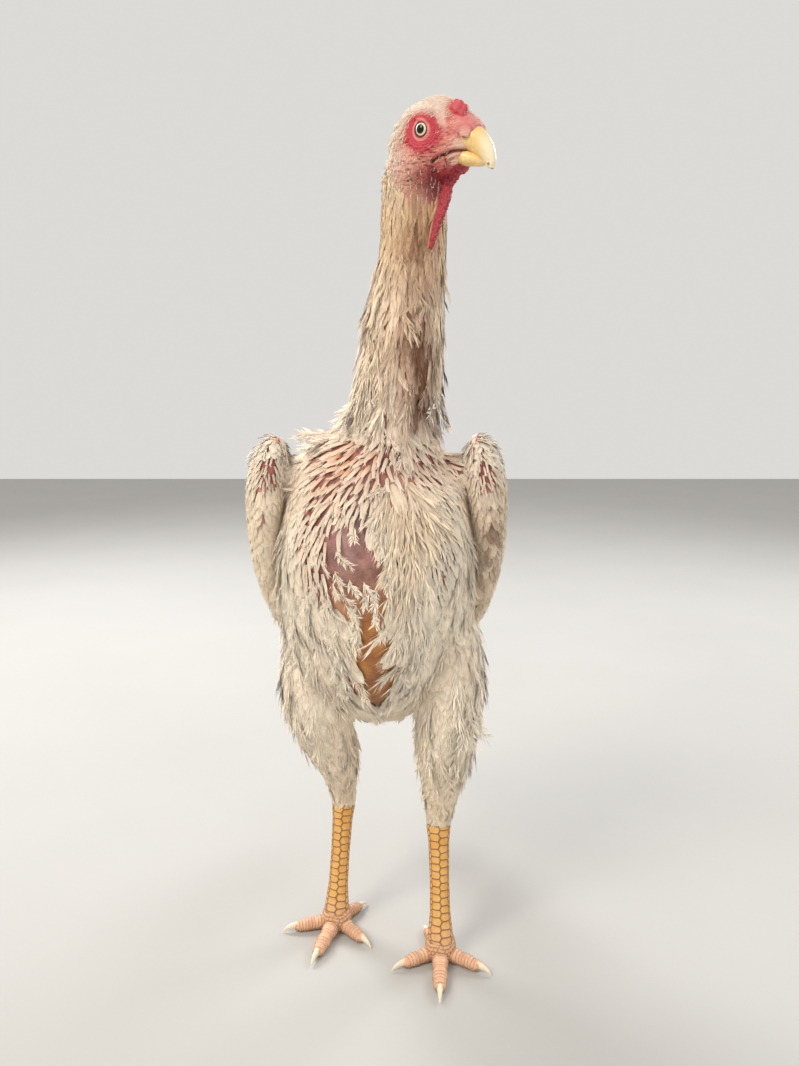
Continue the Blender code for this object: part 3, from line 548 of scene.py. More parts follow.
def plumage_finish():
    """Ivory feathers that turn buff, orange or soiled brown where the bird's are; the brown is partly painted
    shade on the left wing, and painted shade darkens each feather towards its root.
    """
    f = Finish("plumage", 0.75, specular=0.2, sheen=0.15)
    colour = f.mix(f.value("buff"), (0.97, 0.865, 0.71), (0.88, 0.62, 0.36))
    colour = f.mix(f.value("warm"), colour, (0.86, 0.37, 0.19))
    # Soiled brown, partly painted shade in the left wing's streaks and lowest tiers
    colour = f.mix(f.value("soil_and_shade"), colour, (0.20, 0.090, 0.050))
    barb = f.tree.nodes.new("ShaderNodeCombineXYZ")
    lean = f.math("MULTIPLY", f.value("across"), -0.16)
    run = f.math("MULTIPLY", f.math("ADD", f.value("along"), lean), 40.0)
    f.link(run, barb.inputs[0])
    f.link(f.math("MULTIPLY", f.value("feather"), 97.0), barb.inputs[1])
    f.link(f.math("MULTIPLY", f.value("across"), 1.5), barb.inputs[2])
    barbs = f.noise(1.0, 2.0, barb.outputs[0])
    mottle = f.ramp(f.noise(90.0, 4.0), 0.3, 0.7, 0.93, 1.05)
    vane = f.ramp(barbs, 0.35, 0.65, 0.88, 1.06)
    # Tone: each feather's random brightness and the painted shade at its root, with mottle and barb streaks
    tone_and_root_shade = f.math("MULTIPLY", f.math("MULTIPLY", f.value("tone_and_root_shade"), mottle), vane)
    f.colour(f.mix(1.0, colour, f.grey(tone_and_root_shade), "MULTIPLY"))
    f.bump(barbs, 0.0005, 0.6)
    f.bump(f.noise(1.0, 2.0, f.stretched(2600, 2600, 600)), 0.0003, 0.4)
    return f.material


def skin_finish():
    """Bare skin: red face, comb and dewlap, plum breast with rusty quill beds, tan keel, and painted shade in
    the head's grooves and creases.
    """
    f = Finish("bare_skin", 0.46, specular=0.4, subsurface=0.08)
    fine = f.noise(900.0, 4.0)
    broad = f.noise(90.0, 3.0)
    blotch = f.ramp(broad, 0.35, 0.65)
    colour = f.mix(blotch, (0.72, 0.40, 0.30), (0.62, 0.28, 0.20))
    colour = f.mix(f.value("rust"), colour, f.mix(blotch, (0.40, 0.14, 0.10), (0.24, 0.075, 0.060)))
    colour = f.mix(f.value("plum"), colour, f.mix(blotch, (0.42, 0.24, 0.23), (0.22, 0.115, 0.110)))
    colour = f.mix(f.value("tan"), colour, f.mix(blotch, (0.56, 0.24, 0.060), (0.36, 0.13, 0.040)))
    colour = f.mix(f.value("flush"), colour, f.mix(fine, (0.68, 0.060, 0.085), (0.46, 0.024, 0.045)))
    colour = f.mix(f.value("pale"), colour, (0.88, 0.64, 0.55))
    colour = f.mix(f.value("comb"), colour, f.mix(fine, (0.66, 0.070, 0.105), (0.44, 0.026, 0.048)))
    # Dark: the brown keel, the throat and a line round each eye, and painted shade in the head's grooves,
    # creases and hollows
    colour = f.mix(f.value("dark"), colour, (0.045, 0.012, 0.010))
    f.colour(f.mix(f.ramp(fine, 0.50, 0.80, 0.0, 0.18), colour, (0.84, 0.46, 0.36)))
    f.bump(f.noise(1.0, 3.0, f.stretched(420, 420, 1250)), 0.0011, 0.7)
    f.bump(f.cells(620.0), 0.0005, 0.4)
    return f.material


def horn_finish():
    """Yellow horn, paler at its tip, dark where it is stained."""
    f = Finish("bill_horn", 0.34, specular=0.5, coat=0.15)
    grain = f.noise(1.0, 3.0, f.stretched(500, 500, 120))
    colour = f.mix(f.ramp(grain, 0.3, 0.7), (0.78, 0.50, 0.17), (0.86, 0.62, 0.28))
    colour = f.mix(f.value("tip"), colour, (0.88, 0.76, 0.54))
    f.colour(f.mix(f.value("stain"), colour, (0.10, 0.05, 0.03)))
    f.bump(grain, 0.0005, 0.4)
    return f.material


def eye_finish():
    """A pearl iris round a black pupil, under a clear coat."""
    f = Finish("eye", 0.06, specular=0.25, coat=0.25)
    gaze = f.value("gaze")
    ramp = f.tree.nodes.new("ShaderNodeValToRGB")
    f.tree.links.new(gaze, ramp.inputs["Fac"])
    stops = (
        (0.0, (0.004, 0.004, 0.004)),
        (0.445, (0.003, 0.003, 0.003)),
        (0.475, (0.60, 0.48, 0.28)),
        (0.54, (0.84, 0.76, 0.54)),
        (0.64, (0.80, 0.70, 0.46)),
        (0.69, (0.30, 0.19, 0.10)),
        (0.73, (0.02, 0.010, 0.008)),
    )
    for at, colour in stops[1:-1]:
        ramp.color_ramp.elements.new(at)
    for element, (at, colour) in zip(ramp.color_ramp.elements, stops):
        element.position = at
        element.color = (*colour, 1)
    streak = f.ramp(f.noise(1500.0, 2.0), 0.35, 0.7, 0.85, 1.1)
    f.colour(f.mix(1.0, ramp.outputs["Color"], f.grey(streak), "MULTIPLY"))
    return f.material


def scale_finish():
    """Yellow scales with dark seams, paler and pinker on the toes."""
    f = Finish("scaly_skin", 0.42, specular=0.45)
    broad = f.noise(140.0, 3.0)
    fine = f.noise(1400.0, 3.0)
    colour = f.mix(f.ramp(broad, 0.3, 0.7), (0.70, 0.33, 0.065), (0.78, 0.46, 0.15))
    colour = f.mix(f.value("toe"), colour, f.mix(broad, (0.78, 0.50, 0.32), (0.70, 0.36, 0.22)))
    colour = f.mix(f.ramp(fine, 0.5, 0.8, 0.0, 0.35), colour, (0.84, 0.62, 0.36))
    f.colour(f.mix(f.value("seam"), colour, (0.10, 0.032, 0.012)))
    f.bump(fine, 0.0003, 0.5)
    return f.material


def claw_finish():
    """Pale horn with a fine grain."""
    f = Finish("claw_horn", 0.40, specular=0.4)
    grain = f.noise(1.0, 3.0, f.stretched(700, 700, 700))
    f.colour(f.mix(f.ramp(grain, 0.3, 0.7), (0.78, 0.62, 0.44), (0.88, 0.78, 0.62)))
    f.bump(grain, 0.0003, 0.4)
    return f.material


# Shapes in numbers


def rise(values, low, high):
    """0 below low, 1 above high, smooth between; low may be the higher number."""
    t = np.clip((np.asarray(values, float) - low) / (high - low), 0, 1)
    return t * t * (3 - 2 * t)


def blob(points, patch):
    """A soft round patch that is 1 at its centre, given by its centre and half widths."""
    centre, radii = patch
    return np.exp(-(((points - np.array(centre)) / np.array(radii)) ** 2).sum(axis=1))


def cloud(points, scale, octaves=3):
    """Fractal noise from about -1 to 1 at each point."""
    return np.array([noise.fractal(Vector(p) * scale, 0.8, 2.0, octaves) for p in points])


def unit(vectors):
    """The vectors, each with length 1."""
    return vectors / np.maximum(np.linalg.norm(vectors, axis=-1, keepdims=True), 1e-12)


# Where the bird is bare, flushed or soiled, and where shade is painted on the left wing: the middle of each
# patch and its half widths.
# Skin and feathers both read these.

BARE_BREAST = ((-0.0105, -0.105, 0.374), (0.027, 0.060, 0.027))
LILAC_BREAST = ((-0.014, -0.100, 0.412), (0.020, 0.060, 0.024))
PINK_BREAST = ((0.003, -0.100, 0.390), (0.010, 0.060, 0.014))
BARE_KEEL = ((-0.002, -0.090, 0.295), (0.035, 0.060, 0.054))
BROWN_KEEL = ((0.000, -0.030, 0.262), (0.010, 0.050, 0.020))
FAN_RIGHT = ((-0.022, -0.080, 0.452), (0.031, 0.060, 0.028))
FAN_LEFT = ((0.044, -0.060, 0.449), (0.026, 0.070, 0.027))
PINS_RIGHT = ((-0.041, -0.090, 0.385), (0.019, 0.050, 0.038))
PINS_LEFT = ((0.047, -0.090, 0.388), (0.012, 0.050, 0.044))
DOWN_COLUMN = ((0.023, -0.100, 0.402), (0.013, 0.060, 0.052))
THROAT_BASE = ((0.006, -0.090, 0.456), (0.018, 0.050, 0.024))
TUFT_BAND = ((-0.012, -0.100, 0.355), (0.042, 0.060, 0.012))
KEEL_FRAME_RIGHT = ((-0.028, -0.080, 0.296), (0.014, 0.060, 0.045))
KEEL_FRAME_LEFT = ((0.027, -0.080, 0.290), (0.014, 0.060, 0.045))
NECK_SOIL = ((0.030, -0.066, 0.532), (0.012, 0.040, 0.044))
THROAT_SKIN = ((0.0430, -0.0570, 0.643), (0.0090, 0.0200, 0.0170))
THROAT_DARK = ((0.033, -0.058, 0.645), (0.013, 0.030, 0.011))
THROAT_HAIR = ((0.031, -0.058, 0.618), (0.013, 0.030, 0.028))
NECK_TUFT = ((-0.006, -0.060, 0.520), (0.016, 0.040, 0.040))
WRISTS = (
    ((0.084, -0.055, 0.436), (0.009, 0.020, 0.012)),
    ((-0.083, -0.055, 0.441), (0.011, 0.020, 0.013)),
)
# Brown streaks on the left wing below the wrist: partly the feathers' own colour, partly painted shade
# between flight feathers seen edge-on
WING_STREAKS = ((0.090, -0.055, 0.378), (0.016, 0.035, 0.052))
THIGH_GREY = ((-0.045, -0.045, 0.276), (0.016, 0.030, 0.014))
FAN_SOURCE = (0.012, 0.480)
STRAY_TUFTS = (
    (0.095, -0.075, 0.290), (0.090, -0.060, 0.236), (-0.022, -0.060, 0.500),
    (0.052, -0.050, 0.495), (-0.036, -0.045, 0.466),
)
STRAYS_EACH = 5
STRAY_REACH = 0.030


def bare_map(points):
    """0 where the coat is full, 1 where the skin is bare."""
    bare = 1.35 * blob(points, BARE_BREAST) + 1.25 * blob(points, BARE_KEEL)
    bare += 0.35 * blob(points, LILAC_BREAST) + 0.6 * blob(points, PINK_BREAST)
    bare += 0.9 * blob(points, BROWN_KEEL)
    return np.clip(bare - 0.6 * blob(points, DOWN_COLUMN), 0, 1)


def pin_map(points):
    """How far the feathers are still short quills in their sheaths."""
    pins = sum(blob(points, patch) for patch in (PINS_RIGHT, PINS_LEFT, FAN_RIGHT, FAN_LEFT, *WRISTS))
    pins += 0.45 * blob(points, LILAC_BREAST)
    return np.clip(1.5 * pins - 0.9 * blob(points, DOWN_COLUMN), 0, 1)


def skin_values(points):
    """The markings of bare skin at points of the plan."""
    pins = pin_map(points)
    wrists = sum(blob(points, wrist) for wrist in WRISTS)
    return {
        "plum": np.clip(1.4 * blob(points, BARE_BREAST) + 0.9 * blob(points, LILAC_BREAST), 0, 1),
        "rust": np.clip(1.15 * pins + 0.6 * blob(points, THROAT_BASE) + 0.7 * blob(points, NECK_SOIL), 0, 1),
        "tan": np.clip(1.5 * blob(points, BARE_KEEL) + 1.2 * blob(points, BROWN_KEEL), 0, 1),
        "flush": np.clip(0.12 * wrists + 0.35 * blob(points, PINK_BREAST), 0, 1),
        "pale": np.zeros(len(points)),
        "comb": np.zeros(len(points)),
        "dark": 0.5 * blob(points, BROWN_KEEL),
    }


def coat_colours(points):
    """How buff, orange and soiled the feathers at these roots are; the soil also holds painted shade in the
    streaks on the left wing.
    """
    height = points[:, 2]
    neck = rise(height, 0.46, 0.50)
    ripple = cloud(points, 60.0)
    buff = 0.20 + 0.22 * neck + 0.16 * ripple - 0.28 * neck * rise(height, 0.54, 0.50)
    buff += 0.30 * rise(np.abs(points[:, 0]), 0.082, 0.098) * rise(height, 0.46, 0.42)
    buff += 0.30 * blob(points, DOWN_COLUMN) + 0.20 * rise(height, 0.25, 0.15)
    buff += 0.40 * rise(height, 0.57, 0.62) * rise(height, 0.672, 0.652) - 0.6 * rise(height, 0.662, 0.680)
    buff -= 0.25 * rise(height, 0.450, 0.460) * rise(np.abs(points[:, 0]), 0.060, 0.075)
    buff -= 0.40 * blob(points, TUFT_BAND) + 0.25 * rise(height, 0.42, 0.45) * rise(height, 0.50, 0.46)
    warm = 0.75 * blob(points, FAN_RIGHT) + 0.45 * blob(points, FAN_LEFT) + 0.30 * blob(points, PINS_RIGHT)
    warm += 0.25 * sum(blob(points, w) for w in WRISTS) + 0.35 * blob(points, NECK_SOIL)
    warm += 0.14 * neck * rise(height, 0.66, 0.62) + 0.40 * blob(points, THROAT_HAIR)
    soil_and_shade = 1.3 * blob(points, NECK_SOIL) + 0.30 * blob(points, THROAT_BASE) + 0.65 * blob(points, THROAT_HAIR)
    soil_and_shade += (
        0.55 * blob(points, WING_STREAKS) + 0.35 * blob(points, THIGH_GREY) + 0.08 * rise(ripple, 0.1, 0.6)
    )
    return {
        "buff": np.clip(buff, 0, 1),
        "warm": np.clip(warm, 0, 1),
        "soil_and_shade": np.clip(soil_and_shade, 0, 0.85),
    }


# The lie of the coat: each limb's middle line, from which feathers take their way

LIMBS = {
    "torso": (TORSO_ROWS, 1),
    "tail": (TAIL_ROWS, 1),
    "neck": (NECK_ROWS, -1),
    "head": ([(*(HEAD @ Vector(row[:3])), *row[3:]) for row in HEAD_ROWS], -1),
    "thigh_left": (THIGH_ROWS[LEFT], 1),
    "thigh_right": (THIGH_ROWS[RIGHT], 1),
    "wing_left": (WING_ROWS, 1),
    "wing_right": (wing_rows(RIGHT), 1),
}
LIMB_NAMES = list(LIMBS)
SPINE_SAMPLES = 44
ATLAS_COLUMNS, ATLAS_ROWS = 4, 2
PATCH = 0.003


def limb_lines():
    """Samples of every limb's middle line: place, feathers' way, radius, front and side."""
    lines = []
    for rows, way in LIMBS.values():
        samples = np.array(spline_rows(rows, SPINE_SAMPLES))
        tangents = unit(np.gradient(samples[:, :3], axis=0))
        face = np.array(FRONT) - tangents * (tangents @ np.array(FRONT))[:, None]
        face = unit(face)
        across = np.cross(face, tangents)
        lines.append((samples[:, :3], tangents * way, samples[:, 3:6].mean(axis=1), face, across))
    return [np.concatenate(arrays) for arrays in zip(*lines)]


SPINE, SPINE_WAY, SPINE_RADIUS, SPINE_FACE, SPINE_ACROSS = limb_lines()


def lie_of(points):
    """For each point: the way feathers lie, the number of its limb, and how far along and round it is."""
    ways, nearest = [], []
    for start in range(0, len(points), 4000):
        chunk = points[start:start + 4000]
        away = np.linalg.norm(chunk[:, None] - SPINE[None], axis=2) / SPINE_RADIUS
        closest = away.min(axis=1, keepdims=True)
        ways.append(unit(((away / closest) ** -8) @ SPINE_WAY))
        nearest.append(away.argmin(axis=1))
    ways, nearest = np.concatenate(ways), np.concatenate(nearest)
    spread = points - SPINE[nearest]
    angle = np.arctan2((spread * SPINE_FACE[nearest]).sum(1), (spread * SPINE_ACROSS[nearest]).sum(1))
    along = (nearest % SPINE_SAMPLES) / (SPINE_SAMPLES - 1)
    return ways, nearest // SPINE_SAMPLES, along, angle / (2 * math.pi) + 0.5


def atlas_place(limb, along, around):
    """A root's place on the unwrap: each limb has a cell of the sheet, unrolled round its middle line."""
    column, row = limb % ATLAS_COLUMNS, limb // ATLAS_COLUMNS
    margin = 0.03
    u = (column + margin + (1 - 2 * margin) * around) / ATLAS_COLUMNS
    v = (row + margin + (1 - 2 * margin) * along) / ATLAS_ROWS
    return np.stack([u, v], axis=1)


def scatter(points, faces, normals, spacing, rng):
    """Roots on a skin, no nearer one another than the spacing at their place."""
    a, b, c = (points[faces[:, k]] for k in range(3))
    area = np.linalg.norm(np.cross(b - a, c - a), axis=1) / 2
    gap = spacing((a + b + c) / 3)
    wanted = np.where(gap > 0, area / np.maximum(gap, 1e-4) ** 2, 0)
    total = int(wanted.sum() * 2.4)
    picked = rng.choice(len(faces), total, p=wanted / wanted.sum())
    r, s = np.sqrt(rng.random(total)), rng.random(total)
    weights = np.stack([1 - r, r * (1 - s), r * s], axis=1)[:, :, None]
    roots = (points[faces[picked]] * weights).sum(axis=1)
    outward = unit((normals[faces[picked]] * weights).sum(axis=1))
    tree = KDTree(total)
    for k, root in enumerate(roots):
        tree.insert(root, k)
    tree.balance()
    kept = np.ones(total, bool)
    reach = gap[picked]
    for k in range(total):
        if kept[k]:
            for _, other, _ in tree.find_range(roots[k], reach[k]):
                if other > k:
                    kept[other] = False
    return roots[kept], outward[kept]


# Feathers

PLATE_T = np.array([0.0, 0.20, 0.45, 0.70, 0.90, 1.0])
PLATE_UNDER = 0.00008
ROUND_TIP = np.array([0.30, 0.80, 1.00, 0.92, 0.55, 0.08])
POINTED_TIP = np.array([0.45, 0.95, 1.00, 0.72, 0.34, 0.06])
SHEATH = np.array([0.80, 1.00, 0.95, 0.85, 0.65, 0.35])


def plate_triangles(count):
    """Triangles of a closed blade of rings of four points: left edge, top, right edge, underside."""
    faces = [(0, 3, 2), (0, 2, 1)]
    for k in range(count - 1):
        left, top, right, under = range(4 * k, 4 * k + 4)
        left_on, top_on, right_on, under_on = range(4 * k + 4, 4 * k + 8)
        faces += [(left, top, left_on), (top, top_on, left_on)]
        faces += [(top, right, right_on), (top, right_on, top_on)]
        faces += [(left, left_on, under), (under, left_on, under_on)]
        faces += [(under, right_on, right), (under, under_on, right_on)]
    last = 4 * (count - 1)
    return np.array(faces + [(last, last + 1, last + 2), (last, last + 2, last + 3)])


BARB_TRIANGLES = np.array([(0, 1, 2), (3, 2, 1), (0, 2, 3), (0, 3, 1)])


def surface_paths(tree, roots, outward, ways, form):
    """Feather paths that follow the skin, rise off it and curl at their tips.

    Where the skin turns away sharply they go straight on, except on the head and nape.
    """
    count = len(PLATE_T)
    paths = np.zeros((len(roots), count, 3))
    ups = np.zeros((len(roots), count, 3))
    across = unit(np.cross(outward, ways))
    lengths, lift, stand = form["lengths"], form["lift"], form["stand"]
    for i, root in enumerate(roots):
        for k, t in enumerate(PLATE_T):
            aside = form["bends"][i] * lengths[i] * t * t
            straight = root + ways[i] * (lengths[i] * t) + across[i] * aside
            found, normal, _, _ = tree.find_nearest(straight)
            normal, hugging = np.array(normal), np.array(found)
            if normal @ outward[i] < 0.4:
                normal = outward[i]
                if root[2] < HEAD_FOOT:
                    hugging = straight
            free = stand[i] * t
            up = normal * (1 - free) + outward[i] * free
            height = lift[i] * (t ** 0.8 if k else -0.15) + form["curls"][i] * lengths[i] * t ** 3
            height += stand[i] * lengths[i] * 0.35 * t
            paths[i, k] = hugging * (1 - free) + straight * free + up * height
            ups[i, k] = up
    return paths, unit(ups)


def feather_frames(paths, ups, ways):
    """The forward, sideways and upward directions at each node of each feather."""
    ahead, steady = unit(np.gradient(paths, axis=1)), np.broadcast_to(ways[:, None], paths.shape)
    astray = (ahead * steady).sum(axis=2, keepdims=True) < 0.25
    ahead = np.where(astray, steady, ahead)
    across = unit(np.cross(ahead, ups))
    return ahead, across, np.cross(across, ahead)


def build_plates(paths, frames, widths, profile, ridge, cup):
    """Closed blades: an edge on each side and a raised middle."""
    _, across, up = frames
    half = (widths[:, None] / 2 * profile)[:, :, None]
    left = paths - across * half - up * half * cup
    right = paths + across * half - up * half * cup
    top = paths + up * ridge[:, None, None] * profile[None, :, None]
    under = paths - up * (half * cup + PLATE_UNDER)
    points = np.stack([left, top, right, under], axis=2).reshape(len(paths), -1, 3)
    local_x = np.tile([-1.0, 0.0, 1.0, 0.0], len(PLATE_T)) * np.repeat(profile, 4)
    return points, local_x, np.repeat(PLATE_T, 4)


def build_barbs(paths, frames, widths, lengths, profile, barbs, rng):
    """Loose barbs along the outer part of each feather, as thin closed slivers with a bend in them."""
    n, per, start = len(paths), barbs["count"], barbs["start"]
    t = start + (1 - start) * rng.random((n, per)) ** 0.8
    low = np.clip(np.searchsorted(PLATE_T, t) - 1, 0, len(PLATE_T) - 2)
    f = ((t - PLATE_T[low]) / (PLATE_T[low + 1] - PLATE_T[low]))[:, :, None]
    index = np.arange(n)[:, None]
    at = paths[index, low] * (1 - f) + paths[index, low + 1] * f
    ahead, across, up = (direction[index, low] for direction in frames)
    side = np.where(rng.random((n, per)) < 0.5, -1.0, 1.0)[:, :, None]
    wide = (widths[:, None] / 2 * np.interp(t, PLATE_T, profile))[:, :, None]
    base = at + across * side * wide * (0.15 + 0.75 * rng.random((n, per, 1))) + up * 0.0001
    angle = barbs["spread"] * (0.3 + rng.random((n, per)))[:, :, None]
    out = (rng.random((n, per, 1)) - 0.45) * barbs["stand"]
    way = unit(ahead * np.cos(angle) + across * side * np.sin(angle) + up * out)
    long = (lengths[:, None] * barbs["reach"] * (0.5 + rng.random((n, per))))[:, :, None]
    wave = rng.normal(0, barbs["wave"], (n, per, 1))
    turn = unit(way + ahead * 0.6 - up * 0.5 * out + across * wave)
    r = (barbs["radius"] * (0.6 + 0.8 * rng.random((n, per))))[:, :, None]
    middle = base + way * long * 0.5 + up * r
    tip = middle + turn * long * 0.5
    sag = ((middle - (base + tip) / 2) * up).sum(axis=2, keepdims=True)
    wide_way = unit(np.cross(way, up)) * np.where(sag < 0, -1.0, 1.0)
    points = np.stack([base, middle + wide_way * r, middle - wide_way * r, tip], axis=2)
    local_x = (side[:, :, 0] * 0.8)[:, :, None] * np.array([0.6, 1, 1, 1.2])
    local_y = t[:, :, None] + np.array([0, 0.1, 0.1, 0.2])
    lay = np.repeat(up[:, :, None], 4, axis=2)
    return tuple(made.reshape(n, -1, *made.shape[3:]) for made in (points, local_x, local_y, lay))


def tile(triangles, copies, stride):
    """The triangles of several copies whose points are a stride apart."""
    return (triangles[None] + (np.arange(copies) * stride)[:, None, None]).reshape(-1, 3)


class Coat:
    """Collects feathers by piece and adds each piece as one mesh."""

    def __init__(self):
        self.pieces = {}

    def add(self, piece, points, faces, uv, values, lay):
        self.pieces.setdefault(piece, []).append((points, faces, uv, values, lay))

    def finish(self, material):
        for name, parts in self.pieces.items():
            points, faces = joined([part[:2] for part in parts])
            uv, lay = (np.concatenate([part[k] for part in parts]) for k in (2, 4))
            values = {key: np.concatenate([part[3][key] for part in parts]) for key in parts[0][3]}
            add_piece(name, points, faces, material, uv=uv, values=values, lay=lay)


def patch_uv(place, local_x, local_y):
    """A patch about 0.003 across at each root's place on the unwrap."""
    x = np.broadcast_to(local_x, (len(place), local_x.shape[-1]))
    y = np.broadcast_to(local_y, x.shape)
    u = place[:, 0, None] + np.clip(x, -1, 1) * PATCH / 2
    v = place[:, 1, None] + (np.clip(y, 0, 1.1) - 0.5) * PATCH
    return np.stack([u, v], axis=2).reshape(-1, 2)


def feather_values(colours, x, y, feather, shade, fade):
    """Values at every point of some feathers: colours at the roots, place in the vane, and tone with painted
    shade darkening each feather towards its root.
    """
    values = {key: np.broadcast_to(np.asarray(v)[:, None], y.shape).ravel() for key, v in colours.items()}
    values["warm"] = values["warm"] * (1 - 0.55 * np.clip(y, 0, 1).ravel())
    values["across"] = np.abs(x).ravel()
    values["along"] = y.ravel()
    values["feather"] = np.broadcast_to(feather[:, None], y.shape).ravel()
    # Random brightness per feather, darkened towards the root by painted shade where the feathers over it
    # would shade it
    values["tone_and_root_shade"] = (shade[:, None] * (1 - fade * (1 - np.clip(y, 0, 1)) ** 1.5)).ravel()
    return values


def add_feathers(coat, piece, tree, roots, outward, form, rng):
    """Adds feathers of one kind at the given roots. form holds their sizes and barbs."""
    n = len(roots)
    if not n:
        return
    ways, limb, along, around = lie_of(roots)
    ways = unit(ways + form["turn"])
    ways = unit(ways - outward * (ways * outward).sum(1)[:, None])
    swing = rng.normal(0, 1, n) * form["jitter"]
    side = np.cross(outward, ways)
    ways = ways * np.cos(swing)[:, None] + side * np.sin(swing)[:, None]
    lengths = form["length"] * (0.8 + 0.4 * rng.random(n))
    widths = form["width"] * (0.8 + 0.4 * rng.random(n))
    bends, curls = rng.normal(0, 1, n) * form["bend"], form["curl"] * rng.random(n)
    form = dict(form, lengths=lengths, bends=bends, curls=curls)
    form.update({key: np.broadcast_to(form[key], n) for key in ("lift", "stand", "ridge")})
    paths, ups = surface_paths(tree, roots, outward, ways, form)
    frames = feather_frames(paths, ups, ways)
    plates, plate_x, plate_y = build_plates(
        paths, frames, widths, form["profile"], form["ridge"], form["cup"]
    )
    barbs, barb_x, barb_y, barb_lay = build_barbs(
        paths, frames, widths, lengths, form["profile"], form["barbs"], rng
    )
    points = np.concatenate([plates, barbs], axis=1)
    stride = points.shape[1]
    base = 4 * len(PLATE_T)
    faces = np.concatenate(
        [tile(plate_triangles(len(PLATE_T)), n, stride)]
        + [tile(BARB_TRIANGLES + base + 4 * b, n, stride) for b in range(form["barbs"]["count"])]
    )
    place = atlas_place(limb, along, around)
    x = np.concatenate([np.broadcast_to(plate_x, (n, len(plate_x))), barb_x], axis=1)
    y = np.concatenate([np.broadcast_to(plate_y, (n, len(plate_y))), barb_y], axis=1)
    shade = 0.96 + 0.12 * rng.random(n)
    shares = form["colour"]
    colours = {key: np.clip(v * shares.get(key, 1.0), 0, 1) for key, v in coat_colours(roots).items()}
    for key in ("warm", "soil_and_shade"):
        colours[key] = np.clip(colours[key] * (0.5 + rng.random(n)), 0, 1)
    values = feather_values(colours, x, y, rng.random(n), shade, form["fade"])
    facing_up = np.tile([1.0, 1.0, 1.0, -1.0], len(PLATE_T))[None, :, None]
    lay = np.concatenate([np.repeat(ups, 4, axis=1) * facing_up, barb_lay], axis=1).reshape(-1, 3)
    coat.add(piece, points.reshape(-1, 3), faces, patch_uv(place, x, y), values, lay)


# Barbs of each kind of feather: how many, from where, how far they spread, stand, reach and wave
VANE_BARBS = dict(count=21, start=0.25, spread=0.26, stand=0.020, reach=0.19, wave=0.12, radius=0.00018)
FLUFF_BARBS = dict(count=44, start=0.02, spread=0.36, stand=0.20, reach=0.45, wave=0.24, radius=0.00016)
QUILL_BARBS = dict(count=10, start=0.74, spread=0.40, stand=0.35, reach=0.26, wave=0.15, radius=0.00018)
CURL_BARBS = dict(count=56, start=0.05, spread=0.75, stand=0.60, reach=0.42, wave=0.30, radius=0.00016)
HAIR_BARBS = dict(count=1, start=0.20, spread=0.30, stand=0.30, reach=0.50, wave=0.10, radius=0.00010)


def coat_forms(limb, along):
    """Sizes of the feathers at each root, by where it is on the bird."""
    n = len(limb)
    name = np.array(LIMB_NAMES)[limb]
    form = {
        "length": np.full(n, 0.026),
        "width": np.full(n, 0.0122),
        "lift": np.full(n, 0.0022),
        "jitter": np.full(n, 0.12),
    }
    tables = {
        "neck": dict(
            at=(0.0, 0.4, 0.8, 1.0),
            length=(0.022, 0.026, 0.015, 0.009),
            width=(0.0062, 0.0052, 0.0030, 0.0013),
            lift=(0.0032, 0.0024, 0.0011, 0.0008),
            jitter=(0.20, 0.16, 0.12, 0.12),
        ),
        "thigh": dict(
            at=(0.0, 0.45, 0.75, 1.0),
            length=(0.027, 0.024, 0.013, 0.006),
            width=(0.0122, 0.0104, 0.0058, 0.0025),
            lift=(0.0023, 0.0017, 0.0009, 0.0005),
            jitter=(0.13, 0.13, 0.10, 0.10),
        ),
        "wing": dict(
            at=(0.0, 0.15, 0.5, 1.0),
            length=(0.009, 0.012, 0.018, 0.018),
            width=(0.0046, 0.0056, 0.0076, 0.0080),
            lift=(0.0026, 0.0026, 0.0024, 0.0018),
            jitter=(0.22, 0.16, 0.08, 0.08),
        ),
        "tail": dict(at=(0.0, 1.0), length=(0.030, 0.026), width=(0.0120, 0.0120), lift=(0.0030, 0.0024),
                     jitter=(0.08, 0.08)),
        "head": dict(at=(0.0, 1.0), length=(0.007, 0.007), width=(0.0016, 0.0016), lift=(0.0008, 0.0008),
                     jitter=(0.12, 0.12)),
    }
    for start, table in tables.items():
        here = np.char.startswith(name.astype(str), start)
        for key in form:
            form[key][here] = np.interp(along[here], table["at"], table[key])
    return form


def coat_spacing(points):
    """Distance between feather roots over the skin. 0 leaves a place without."""
    _, limb, along, around = lie_of(points)
    name = np.array(LIMB_NAMES)[limb].astype(str)
    gap = np.where(points[:, 1] < -0.02, 0.0043, 0.0050)
    neck = name == "neck"
    gap[neck] = np.interp(along[neck], [0.0, 0.6, 0.9], [0.0044, 0.0036, 0.0022])
    thigh = np.char.startswith(name, "thigh")
    gap[thigh] = np.interp(along[thigh], [0.0, 0.6, 1.0], [0.0046, 0.0038, 0.0019])
    wing = np.char.startswith(name, "wing")
    gap[wing] = np.where(points[wing, 2] > 0.450, 0.0021, 0.0036)
    sideways = np.abs(np.cos(around * 2 * math.pi)) > 0.74
    outer = wing & sideways & (np.abs(points[:, 0]) > 0.088) & (along > 0.45)
    bare = bare_map(points)
    pins = pin_map(points)
    gap = np.where(pins > 0.3, np.where(wing, 0.0028, 0.0041), gap)
    gap = gap * (1 + 1.4 * rise(bare, 0.45, 0.85))
    gap[bare > 0.90] = 0
    gap[blob(points, TUFT_BAND) > 0.55] = 0.0080
    gap[outer] = 0
    return gap


